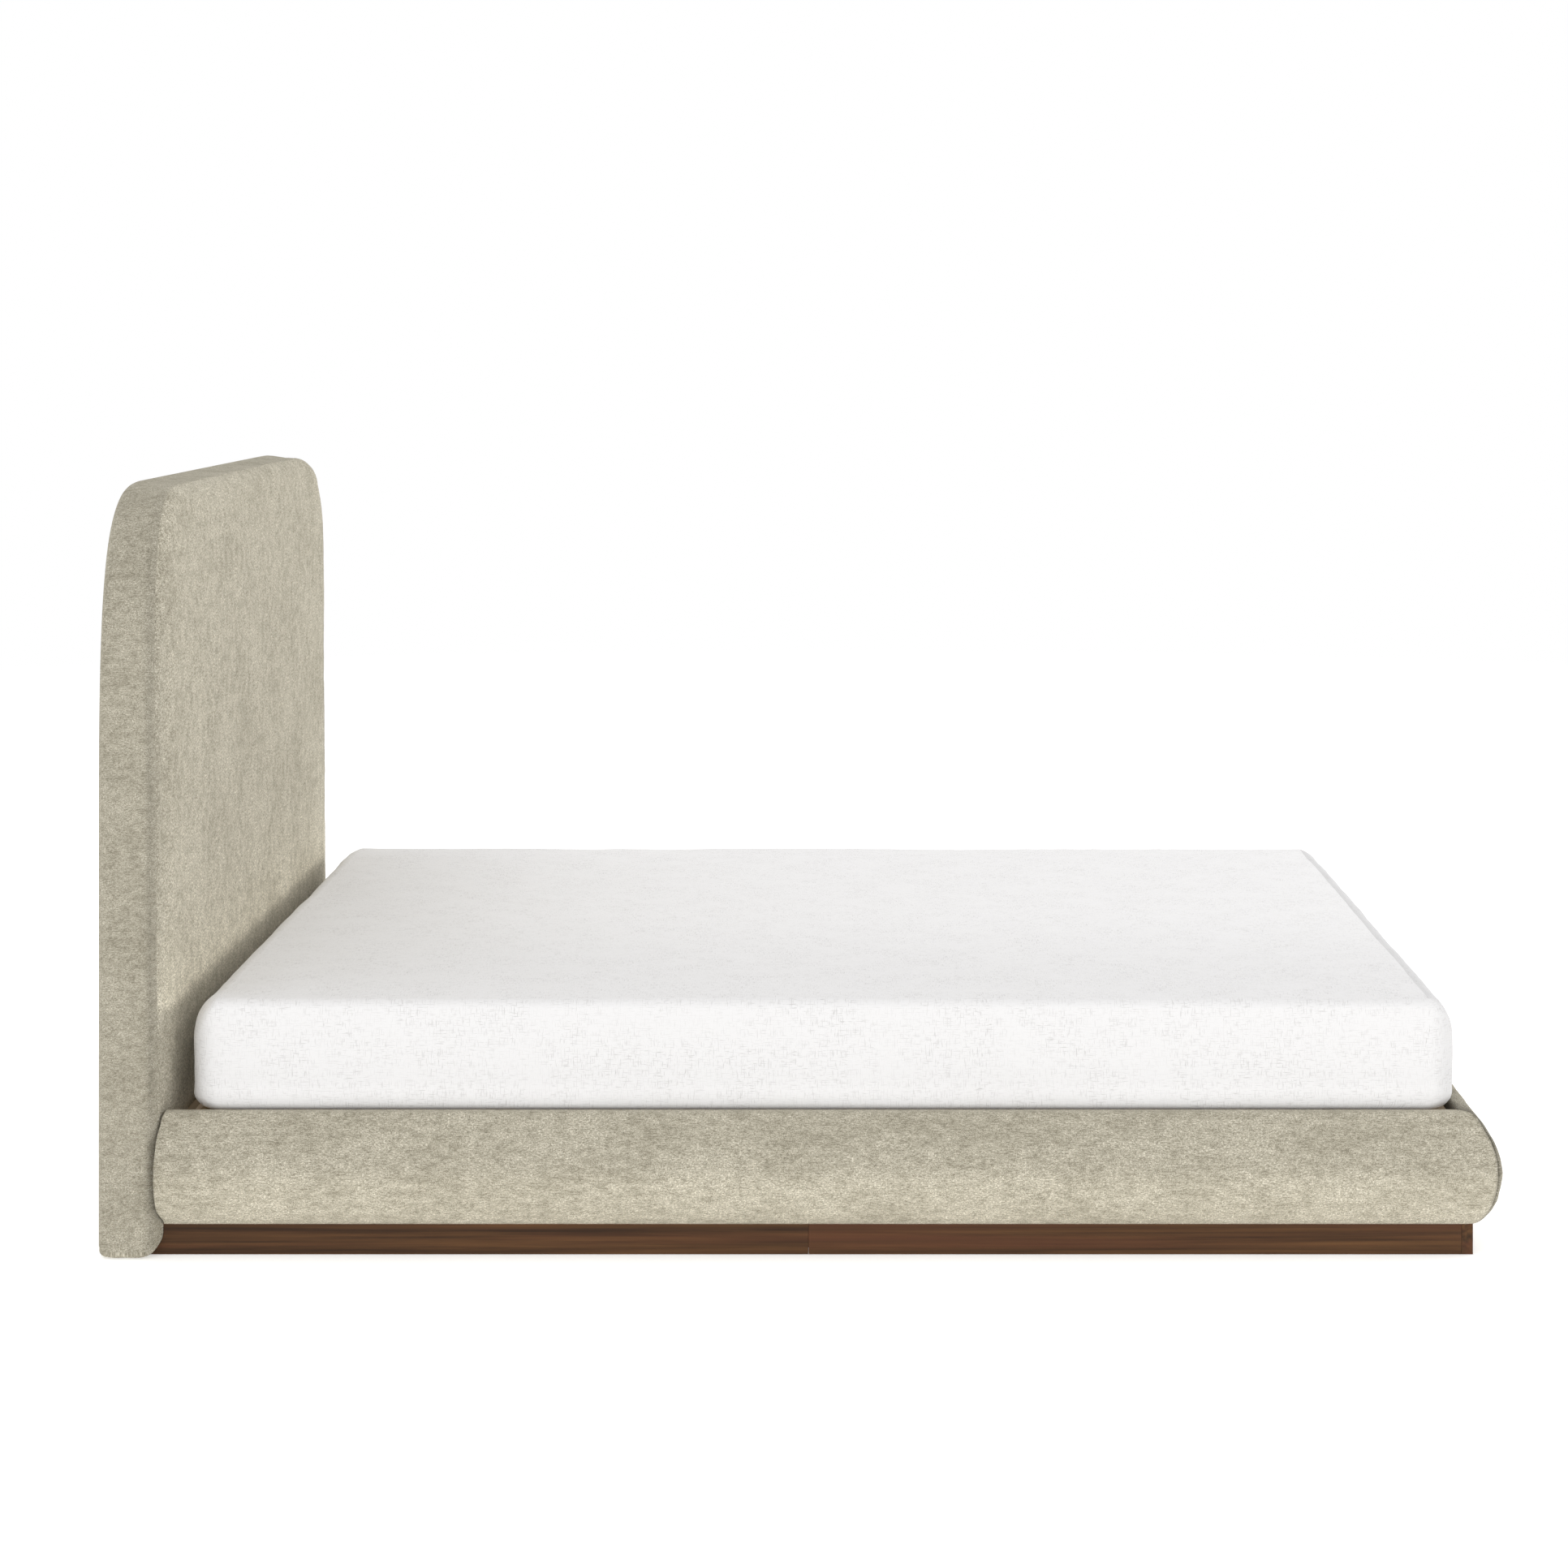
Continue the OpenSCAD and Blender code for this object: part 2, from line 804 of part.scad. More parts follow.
module leveller_stud(x) {
    color(zinc)
    leg_places([x]) {
        translate([0, 0, stud_low_z]) cylinder(r = stud_r, h = stud_l);
        translate([0, 0, pad_h]) cylinder(r = stud_hex_r, h = stud_hex_h, $fn = 6);
    }
}

module leveller_pad(x) {
    color(nylon_black)
    leg_places([x])
        difference() {
            rotate_extrude()
                polygon([[0, 0], [pad_r - 1, 0], [pad_r, 1],
                    [pad_r, pad_rim_h], [pad_top_r, pad_h], [0, pad_h]]);
            translate([0, 0, stud_low_z]) cylinder(r = stud_r + thread_fit, h = pad_h);
        }
}

module slats() {
    color(birch)
    difference() {
        for (i = [0 : slat_n - 1])
            translate([slat_first_x + i * slat_pitch, 0, 0])
                box([-slat_w / 2, -slat_half, slat_low_z], [slat_w / 2, slat_half, deck_z]);
        on_both_sides() slat_screw_places() screw(slat_screw_r, long_screw_l + 2, snug_fit);
    }
}

module slat_webbing() {
    color(nylon_black)
    on_both_sides()
        box([slat_first_x - slat_w / 2, webbing_y - webbing_w / 2, slat_low_z - webbing_t],
            [slat_first_x + slat_pitch * (slat_n - 1) + slat_w / 2, webbing_y + webbing_w / 2, slat_low_z]);
}

// Hardware

// Angle plate in a corner of the frame, its inside corner at the origin, legs on +X and -Y
module angle_plate() {
    box([0, -bracket_leg, 0], [plate_t, 0, bracket_h]);
    box([0, -plate_t, 0], [bracket_leg, 0, bracket_h]);
}

module corner_brackets() {
    color(zinc)
    difference() {
        on_both_sides() {
            translate([head_rail_in_x, board_in_y, bracket_low_z]) angle_plate();
            translate([board_in_x, board_in_y, bracket_low_z]) mirror([1, 0, 0]) angle_plate();
        }
        all_bracket_bolts() translate([0, 0, -plate_t - eps])
            cylinder(r = bolt_r + bolt_fit, h = plate_t + 2 * eps);
    }
}

module bracket_bolts() {
    color(zinc)
    all_bracket_bolts() translate([0, 0, -plate_t - washer_t])
        hex_bolt(board_t + plate_t + washer_t - bolt_tip_in);
}

module bracket_washers() {
    color(zinc) {
        all_bracket_bolts() translate([0, 0, -plate_t - washer_t]) washer();
        head_bolt_places() translate([0, 0, -washer_t]) washer();
    }
}

module bracket_tnuts() {
    color(zinc) all_bracket_bolts() translate([0, 0, board_t]) facing_down() tnut();
}

module ledger_screws() {
    color(zinc) on_both_sides() ledger_screw_places() screw(ledger_screw_r, long_screw_l);
}

module slat_screws() {
    color(zinc) on_both_sides() slat_screw_places() screw(slat_screw_r, long_screw_l);
}

module beam_screws() {
    color(zinc) beam_screw_places() screw(slat_screw_r, short_screw_l);
}

// Mattress

module mattress_base_foam() {
    d = cover_t + foam_gap;
    color(foam_cream) loft(concat(mat_low_rings(d), [mat_ring(mat_split_z, d)]));
}

module mattress_top_foam() {
    d = cover_t + foam_gap;
    color(linen_white) loft(concat([mat_ring(mat_split_z, d)], mat_top_rings(d)));
}

module mattress_cover() {
    color(linen_white)
    difference() {
        loft(concat(mat_low_rings(0), mat_top_rings(0)));
        loft(concat(mat_low_rings(cover_t), mat_top_rings(cover_t)));
    }
}

module left() {
    mirror([0, 1, 0]) children();
}

headboard_posts();
headboard_crossrails();
headboard_rim();
headboard_front_panel();
headboard_back_panel();
headboard_foam();
headboard_cover();
headboard_back_cloth();
headboard_glides();
headboard_bolts();
headboard_inserts();
left() side_board();  // side_board_left
side_board();  // side_board_right
left() side_foam();  // side_foam_left
side_foam();  // side_foam_right
left() side_cover();  // side_cover_left
side_cover();  // side_cover_right
left() ledger();  // ledger_left
ledger();  // ledger_right
foot_board();
foot_foam();
foot_cover();
head_rail();
left() plinth_side_head();  // plinth_left_head
left() plinth_side_foot();  // plinth_left_foot
plinth_side_head();  // plinth_right_head
plinth_side_foot();  // plinth_right_foot
plinth_foot();
plinth_head_bar();
plinth_crossbars();
plinth_corner_blocks();
plinth_splice_blocks();
rail_blocks();
centre_beam();
beam_brackets();
support_legs();
leg_dowels();
leg_inserts();
leveller_stud(leg_x[0]);  // leveller_stud_head
leveller_stud(leg_x[1]);  // leveller_stud_mid
leveller_stud(leg_x[2]);  // leveller_stud_foot
leveller_pad(leg_x[0]);  // leveller_pad_head
leveller_pad(leg_x[1]);  // leveller_pad_mid
leveller_pad(leg_x[2]);  // leveller_pad_foot
slats();
slat_webbing();
corner_brackets();
bracket_bolts();
bracket_washers();
bracket_tnuts();
ledger_screws();
slat_screws();
beam_screws();
mattress_base_foam();
mattress_top_foam();
mattress_cover();
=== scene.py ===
"""Looks of the upholstered platform bed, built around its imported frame. Metres, +Z up.

Padded pieces are quad meshes with a "weave" UV map in metres, whose U runs along the yarn's slubs.
A coarse copy of the headboard's and of the mattress's is blown up as cloth, and the fine mesh
follows that copy's movement. The rails are shaped by their section alone.
"""

import json
import math

import bpy
import numpy as np
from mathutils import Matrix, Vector
from mathutils.kdtree import KDTree


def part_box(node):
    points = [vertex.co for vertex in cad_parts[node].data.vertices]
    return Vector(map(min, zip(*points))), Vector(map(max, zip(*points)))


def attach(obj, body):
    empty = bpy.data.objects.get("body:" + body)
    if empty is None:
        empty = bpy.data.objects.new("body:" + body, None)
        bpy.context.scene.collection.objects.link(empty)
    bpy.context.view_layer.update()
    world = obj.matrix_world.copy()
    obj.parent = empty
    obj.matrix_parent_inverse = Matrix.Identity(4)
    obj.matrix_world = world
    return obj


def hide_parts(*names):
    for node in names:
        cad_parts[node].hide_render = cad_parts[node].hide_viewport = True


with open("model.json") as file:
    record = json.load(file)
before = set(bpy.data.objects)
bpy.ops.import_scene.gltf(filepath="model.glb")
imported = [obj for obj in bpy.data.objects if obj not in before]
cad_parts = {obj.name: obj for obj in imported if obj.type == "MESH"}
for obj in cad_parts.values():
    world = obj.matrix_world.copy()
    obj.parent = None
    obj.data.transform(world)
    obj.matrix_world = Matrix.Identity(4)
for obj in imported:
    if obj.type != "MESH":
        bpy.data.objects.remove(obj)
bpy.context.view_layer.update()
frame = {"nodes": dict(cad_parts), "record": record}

# Shape of the padded pieces. HEAD_CORNER is the width, height and power of the superellipse at the
# headboard's top corners. The MAT_ pairs are how far a rounding goes in from the side and up or
# down, and MAT_FOLD_ is how far in the base is tucked and how far below the rails' top it starts
HEAD_CORNER = (0.300, 0.600, 3.5)
HEAD_SIDE_R, HEAD_TOP_R, HEAD_BOTTOM_R, HEAD_REAR_R, HEAD_LOW_R = 0.027, 0.035, 0.034, 0.012, 0.010
HEAD_CROWN, CROWN_REACH, PLINTH_CROWN = 0.004, 0.050, 0.55
RAIL_TOP_R, RAIL_INNER_R, BULGE_Z, BULGE_POWER = 0.009, 0.007, 0.138, 0.7
RAIL_END_REACH, HEM_HANG, HEM_GAP = 0.0105, 0.002, 0.0005
COVER_T = 0.002
MAT_CORNER_R, MAT_FOLD_IN, MAT_FOLD_Z = 0.046, 0.034, 0.005
MAT_LEAN_FOOT, MAT_LEAN_HEAD = 0.0095, 0.0080
MAT_SIDE_TOP, MAT_END_TOP = (0.016, 0.016), (0.044, 0.068)
MAT_SIDE_LOW, MAT_END_LOW = (0.012, 0.012), (0.012, 0.026)

# Sewing: where round the edge the headboard's band meets its front and in which ring the crease
# between them lies, how round a rail's corner is for its bulge, how much further the foot rail
# swells, the gaps at the rails' ends, the roundings of their edges, and how far the painted shade
# reaches from a seam or fold
SEAM_SIDE, SEAM_TOP, VALLEY_RING = math.radians(64), math.radians(20), 3
CORNER_SHARE, CORNER_LEAST, FOOT_SWELL = 0.5, 0.0015, 0.002
MITRE_GAP, HEAD_GAP, HEAD_GAP_TOP = 0.0003, 0.0034, 0.0015
MITRE_ROUND, MITRE_VALLEY, VALLEY_REACH, HEAD_END_ROUND = 0.0018, 0.0006, 0.009, 0.0012
SEAM_SHADE_REACH, FOOT_SEAM_SHADE_REACH, HEAD_SEAM_SHADE_REACH, FOLD_REACH = 0.0045, 0.035, 0.0010, 0.005

# Display colours, 0 to 255
YARN_TONES = (130, 124, 108), (168, 162, 145), (198, 191, 174)
CREAM_FLECK = 228, 222, 205
LINEN, LINEN_THIN = (233, 232, 232), (200, 198, 197)

# Unevenness of the padding, as (wavelength, height) pairs
HEAD_UNEVEN = (0.030, 0.0002), (0.140, 0.0004), (0.450, 0.0008)
RAIL_UNEVEN = (0.022, 0.0003), (0.090, 0.0005), (0.350, 0.0007)
MAT_UNEVEN = (0.040, 0.0002), (0.160, 0.0004), (0.500, 0.0006)

# Scale of the headboard's weave map against the rails', where over 1 is finer: across and up its
# front, and across and along its band
FRONT_SLUB, BAND_SLUB = (1.05, 0.55), (1.45, 1.15)

# How light the cloth is drawn on the headboard: on its band, with painted light more up the band and
# painted shade over the top, and on the front; how much painted shade lies in the crease and how far to
# either side, and how much painted light lies just above the bed. BAND_TILT is the slope of the band's yarn
# over the top
BAND_NAP, BAND_PAINTED_LIGHT, TOP_PAINTED_SHADE, FRONT_NAP, EDGE_PAINTED_SHADE = 0.94, 0.02, 0.86, 1.00, 0.26
VALLEY_REAR, VALLEY_FRONT, BED_GLOW, BED_GLOW_REACH = 0.008, 0.035, 0.46, 0.09
BAND_TILT = 0.7

# How light the cloth is drawn on the rails: all over, then painted shade at seams and at the inner fold,
# painted light under the bulge, and painted shade on the upper half of the foot rail
RAIL_NAP, SEAM_PAINTED_SHADE, FOLD_PAINTED_SHADE, LOW_PAINTED_LIGHT, FOOT_SHADE = 1.05, 0.40, 0.60, 0.14, 0.30

# How light the ticking is drawn: painted light low down, painted shade at the foot, and painted light on the
# far part of its top
MAT_LOW_LIGHT, MAT_FOOT_SHADE, MAT_FAR_PAINTED_LIGHT = 1.08, 0.18, 0.08

# Places, read from the frame
HEAD_LO, HEAD_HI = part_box("headboard_cover")
BACK_LO, BACK_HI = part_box("headboard_back_cloth")
RAIL_LO, RAIL_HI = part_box("side_cover_right")
PLINTH_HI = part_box("plinth_foot")[1]
BOARD_LO, BOARD_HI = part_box("side_board_right")
MAT_LO, MAT_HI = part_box("mattress_cover")
SIDE_Y, FOOT_X, PLINTH_TOP = PLINTH_HI.y, PLINTH_HI.x, PLINTH_HI.z
RAIL_TOP = RAIL_HI.z
RAIL_WALL = SIDE_Y - RAIL_LO.y
BULGE_OUT = RAIL_HI.y - SIDE_Y
HEM_Z = PLINTH_TOP - HEM_HANG


# ---------------------------------------------------------------- meshes

def arc(n, a0=0.0, a1=90.0):
    """n + 1 angles in radians, from a0 to a1 in degrees."""
    return np.radians(np.linspace(a0, a1, n + 1))


def smooth(t):
    """Rises from 0 to 1 as t does, level at both ends."""
    t = np.clip(t, 0, 1)
    return t * t * (3 - 2 * t)


def run_length(points):
    """Distance along rows of points, counted down their first axis."""
    steps = np.linalg.norm(np.diff(points, axis=0), axis=-1)
    return np.concatenate([np.zeros((1, *steps.shape[1:])), np.cumsum(steps, axis=0)])


def spread(points, n):
    """n + 1 points at even distances along a polyline."""
    points = np.asarray(points, float)
    s = run_length(points)
    at = np.linspace(0, s[-1], n + 1)
    return np.column_stack([np.interp(at, s, points[:, k]) for k in range(points.shape[1])])


def close(rows):
    """Repeats each row's first item at its end."""
    return np.concatenate([rows, rows[:, :1]], 1)


class Sheet:
    """Collects vertices and quads. Each quad has its own corners of the weave map, and a factor on its
    colour from 0 to 1 and over, which holds the cloth's tone together with painted shade and painted light."""

    def __init__(self):
        self.points, self.quads, self.uvs, self.naps_and_painted_light = [], [], [], []
        self.count = 0

    def add(self, points):
        """Adds vertices, and returns their indices in the same layout."""
        points = np.asarray(points, float)
        index = self.count + np.arange(points[..., 0].size).reshape(points.shape[:-1])
        self.points.append(points.reshape(-1, 3))
        self.count += index.size
        return index

    def grid(self, index, uv, nap_and_painted_light=1.0, flip=False):
        """Adds quads between rows of indices. flip turns them round."""
        nap_and_painted_light = np.broadcast_to(nap_and_painted_light, index.shape)
        corners = [(slice(0, -1), slice(0, -1)), (slice(1, None), slice(0, -1)),
                   (slice(1, None), slice(1, None)), (slice(0, -1), slice(1, None))]
        if flip:
            corners = corners[::-1]
        self.quads.append(np.stack([index[c] for c in corners], -1).reshape(-1, 4))
        self.uvs.append(np.stack([uv[c] for c in corners], -2).reshape(-1, 4, 2))
        self.naps_and_painted_light.append(np.stack([nap_and_painted_light[c] for c in corners], -1).reshape(-1, 4))

    def make(self, name):
        points, quads = np.vstack(self.points), np.vstack(self.quads)
        mesh = bpy.data.meshes.new(name)
        mesh.from_pydata(points.tolist(), [], quads.tolist())
        layer = mesh.uv_layers.new(name="weave")
        layer.data.foreach_set("uv", np.vstack(self.uvs).astype(np.float32).ravel())
        nap_and_painted_light = mesh.attributes.new("nap_and_painted_light", "FLOAT", "CORNER")
        nap_and_painted_light.data.foreach_set("value", np.vstack(self.naps_and_painted_light).astype(np.float32).ravel())
        mesh.polygons.foreach_set("use_smooth", [True] * len(mesh.polygons))
        mesh.update()
        piece = bpy.data.objects.new(name, mesh)
        bpy.context.scene.collection.objects.link(piece)
        return piece


def patch(bottom, right, top, left):
    """Points of a quad patch between four rows of points that share their corners."""
    u = np.linspace(0, 1, len(bottom))[None, :, None]
    v = np.linspace(0, 1, len(right))[:, None, None]
    ruled_v = (1 - v) * bottom[None] + v * top[None]
    ruled_u = (1 - u) * left[:, None] + u * right[:, None]
    corners = ((1 - u) * (1 - v) * bottom[0] + u * (1 - v) * bottom[-1]
               + (1 - u) * v * top[0] + u * v * top[-1])
    return ruled_v + ruled_u - corners


def fill(sheet, ring, points, sides, uv_of, nap_and_painted_light=1.0, flip=False):
    """Closes a ring of indices with a quad patch. sides are the ring's counts along bottom, right,
    top and left, and the factor of tone with painted light and shade may be a function of the patch's
    points."""
    walk = np.r_[ring, ring[0]]
    loop = np.vstack([points, points[:1]])
    at = np.cumsum([0, *sides])
    parts = [loop[at[k]:at[k + 1] + 1] for k in range(4)]
    rows = [walk[at[k]:at[k + 1] + 1] for k in range(4)]
    inner = patch(parts[0], parts[1], parts[2][::-1], parts[3][::-1])
    index = np.zeros(inner.shape[:2], int)
    index[1:-1, 1:-1] = sheet.add(inner[1:-1, 1:-1])
    index[0], index[-1] = rows[0], rows[2][::-1]
    index[:, -1], index[:, 0] = rows[1], rows[3][::-1]
    sheet.grid(index, uv_of(inner), nap_and_painted_light(inner) if callable(nap_and_painted_light) else nap_and_painted_light, flip)


def coordinates(mesh):
    """The mesh's vertices as rows of x, y and z."""
    flat = np.zeros(len(mesh.vertices) * 3)
    mesh.vertices.foreach_get("co", flat)
    return flat.reshape(-1, 3)


RIPPLE_WAVES, RIPPLE_SPREAD = 18, (0.75, 1.35)


def ripple(points, wavelength, seed):
    """A smooth random field of about unit size, made of plane waves of about one wavelength."""
    rng = np.random.default_rng(seed)
    ways = rng.normal(size=(RIPPLE_WAVES, 3))
    ways /= np.linalg.norm(ways, axis=1, keepdims=True)
    lengths = wavelength * rng.uniform(*RIPPLE_SPREAD, RIPPLE_WAVES)
    phases = rng.uniform(0, 2 * math.pi, RIPPLE_WAVES)
    waves = np.sin(points @ (2 * math.pi * ways / lengths[:, None]).T + phases)
    return waves.sum(1) * math.sqrt(2 / RIPPLE_WAVES)


def make_uneven(piece, amounts, seed, share):
    """Moves the vertices along their normals by ripples, given as (wavelength, height) pairs.
    share(points) is from 0, where nothing moves, to 1."""
    mesh = piece.data
    points = coordinates(mesh)
    normals = np.zeros(len(mesh.vertices) * 3)
    mesh.vertex_normals.foreach_get("vector", normals)
    height = sum(h * ripple(points, wavelength, seed + k) for k, (wavelength, h) in enumerate(amounts))
    height = height * share(points)
    mesh.vertices.foreach_set("co", (points + normals.reshape(-1, 3) * height[:, None]).ravel())
    mesh.update()


# ---------------------------------------------------------------- cloth

CLOTH_PRESSURE, CLOTH_QUALITY, CLOTH_FRAMES = 4.0, 4, 20
NEAREST, TINY_DISTANCE, TINY = 6, 1e-4, 1e-9


def follow_cloth(piece, voxel, cap, held):
    """Blows up a coarse copy of piece as cloth, and moves the piece's own vertices with it, by no
    more than cap. held(points) is True where the fabric is stapled or rests on something."""
    coarse = piece.copy()
    coarse.data = piece.data.copy()
    bpy.context.scene.collection.objects.link(coarse)
    remesh = coarse.modifiers.new("remesh", "REMESH")
    remesh.mode = "VOXEL"
    remesh.voxel_size = voxel
    graph = bpy.context.evaluated_depsgraph_get()
    mesh = bpy.data.meshes.new_from_object(coarse.evaluated_get(graph))
    bpy.data.objects.remove(coarse)
    coarse = bpy.data.objects.new("coarse", mesh)
    bpy.context.scene.collection.objects.link(coarse)
    rest = coordinates(mesh)
    pins = coarse.vertex_groups.new(name="pins")
    pins.add([int(i) for i in np.flatnonzero(held(rest))], 1.0, "REPLACE")
    cloth = coarse.modifiers.new("cloth", "CLOTH")
    cloth.settings.vertex_group_mass = "pins"
    cloth.settings.use_pressure = True
    cloth.settings.uniform_pressure_force = CLOTH_PRESSURE
    cloth.settings.effector_weights.gravity = 0
    cloth.settings.quality = CLOTH_QUALITY
    for frame_number in range(1, CLOTH_FRAMES + 1):
        bpy.context.scene.frame_set(frame_number)
    graph = bpy.context.evaluated_depsgraph_get()
    moved = coordinates(coarse.evaluated_get(graph).data) - rest
    bpy.context.scene.frame_set(1)
    bpy.data.objects.remove(coarse)
    length = np.linalg.norm(moved, axis=1, keepdims=True)
    moved *= cap * np.tanh(length / cap) / np.maximum(length, TINY)
    shift_by_nearest(piece, rest, moved)


def shift_by_nearest(piece, anchors, shifts):
    """Moves each vertex by the mean shift of the anchors nearest to it, the nearer ones most."""
    tree = KDTree(len(anchors))
    for i, p in enumerate(anchors):
        tree.insert(p, i)
    tree.balance()
    points = coordinates(piece.data)
    for i, p in enumerate(points):
        found = tree.find_n(p, NEAREST)
        weight = np.array([1 / (distance + TINY_DISTANCE) for _, _, distance in found])
        points[i] = p + weight @ shifts[[k for _, k, _ in found]] / weight.sum()
    piece.data.vertices.foreach_set("co", points.ravel())
    piece.data.update()


# ---------------------------------------------------------------- headboard

# Steps round the rear edge, along the band and from the crease to the front, and along half of the
# outline: bottom, its rounded corner, side, top corner, top
REAR_STEPS, BAND_STEPS, FRONT_STEPS = 5, 10, 8
BOTTOM_HALF, LOW_ARC, SIDE_RUN, CORNER_RUN, TOP_HALF = 100, 4, 76, 84, 60
HALF_COUNT = BOTTOM_HALF + LOW_ARC + SIDE_RUN + CORNER_RUN + TOP_HALF + 1
PATCH_START = BOTTOM_HALF + LOW_ARC // 2
PATCH_ACROSS, PATCH_UP = 2 * PATCH_START, LOW_ARC // 2 + SIDE_RUN + CORNER_RUN // 2
PATCH_SIDES = (PATCH_ACROSS, PATCH_UP, PATCH_ACROSS, PATCH_UP)

# The rear lap under the dust cloth: how far it lies in at its edge and before it, and forward
LAP_EDGE, LAP_START, LAP_FORWARD = 0.030, 0.022, 0.0002

# Where a change starts, as a height, a distance below the top or a share of a top corner, and the
# length over which it happens
BOTTOM_START, BOTTOM_FADE = 0.012, 0.05
LIFT_START, LIFT_FADE = 0.70, 0.25
CREASE_END, CREASE_FADE, GLOW_FADE = 0.02, 0.15, 0.03
PLINTH_FADE, TOP_FADE = 0.04, 0.2
TILT_START, TOP_SHADE_START = 0.45, 0.3

# Steps that measure a top corner, and the least radius of a low one
FINE_STEPS, LEAST_R = 2000, 0.001


def corner_angles():
    """Angles on the superellipse corner that lie at even distances."""
    w, h, n = HEAD_CORNER
    t = np.radians(np.linspace(0, 90, FINE_STEPS))
    s = run_length(np.column_stack([w * np.cos(t) ** (2 / n), h * np.sin(t) ** (2 / n)]))
    even = np.interp(np.linspace(0, s[-1], CORNER_RUN + 1), s, t)
    even[-1] = math.pi / 2
    return even


CORNER_ANGLES = corner_angles()


def whole_ring(half):
    """Half an outline's values and their mirror image, from the patch's corner round."""
    other = half[-2:0:-1] * ([-1, 1] if half.ndim == 2 else 1)
    return np.roll(np.concatenate([half, other]), PATCH_START, axis=0)


def half_outline(d):
    """Half of the headboard's outline across Y and Z, its points moved in by d each."""
    half_w, low, high = HEAD_HI.y, HEAD_LO.z, HEAD_HI.z
    w, h, n = HEAD_CORNER
    r = np.maximum(HEAD_LOW_R - d, LEAST_R)
    edge = half_w - d - r
    foot = low + d + r
    at = np.cumsum([0, BOTTOM_HALF + 1, LOW_ARC, SIDE_RUN, CORNER_RUN, TOP_HALF])
    bottom, curve, side, corner, top = (slice(at[k], at[k + 1]) for k in range(5))
    y, z = np.zeros(HALF_COUNT), np.zeros(HALF_COUNT)
    y[bottom], z[bottom] = np.linspace(0, 1, BOTTOM_HALF + 1) * edge[bottom], low + d[bottom]
    a = arc(LOW_ARC, -90, 0)[1:]
    y[curve], z[curve] = edge[curve] + r[curve] * np.cos(a), foot[curve] + r[curve] * np.sin(a)
    f = np.linspace(0, 1, SIDE_RUN + 1)[1:]
    y[side], z[side] = half_w - d[side], foot[side] + f * (high - h - foot[side])
    t = CORNER_ANGLES[1:]
    cy, cz = w * np.cos(t) ** (2 / n), h * np.sin(t) ** (2 / n)
    ny, nz = (cy / w) ** (n - 1) / w, (cz / h) ** (n - 1) / h
    m = np.hypot(ny, nz)
    y[corner], z[corner] = half_w - w + cy - d[corner] * ny / m, high - h + cz - d[corner] * nz / m
    f = np.linspace(1, 0, TOP_HALF + 1)[1:]
    y[top], z[top] = f * (half_w - w), high - d[top]
    return np.column_stack([y, z])


def head_rings(levels):
    """Rings at levels of (x, d), where each is one value or one for each point of half a ring."""
    rings = []
    for x, d in levels:
        x, d = (np.broadcast_to(v, (HALF_COUNT,)).astype(float) for v in (x, d))
        rings.append(np.column_stack([whole_ring(x), whole_ring(half_outline(d))]))
    return np.array(rings)


def share_of_top(start=0.0):
    """0 up the sides of half an outline, and rising to 1 round its top corner from a start on it."""
    before = BOTTOM_HALF + LOW_ARC + SIDE_RUN + 1
    round_corner = smooth((np.linspace(0, 1, CORNER_RUN) - start) / (1 - start))
    return np.r_[np.zeros(before), round_corner, np.ones(TOP_HALF)]


def front_uv(points):
    """Weave map of the flat front and rear, with the yarn across."""
    return points[..., 1:] * FRONT_SLUB


def unrolled_uv(rings):
    """Weave map of the front's rounded edge, as if it were rolled out flat round the last ring."""
    flat = rings[-1][None, :, 1:]
    away = rings[..., 1:] - flat
    length = np.linalg.norm(away, axis=-1, keepdims=True)
    rolled = run_length(rings[::-1])[::-1][..., None]
    return (flat + away / np.maximum(length, TINY) * rolled) * FRONT_SLUB


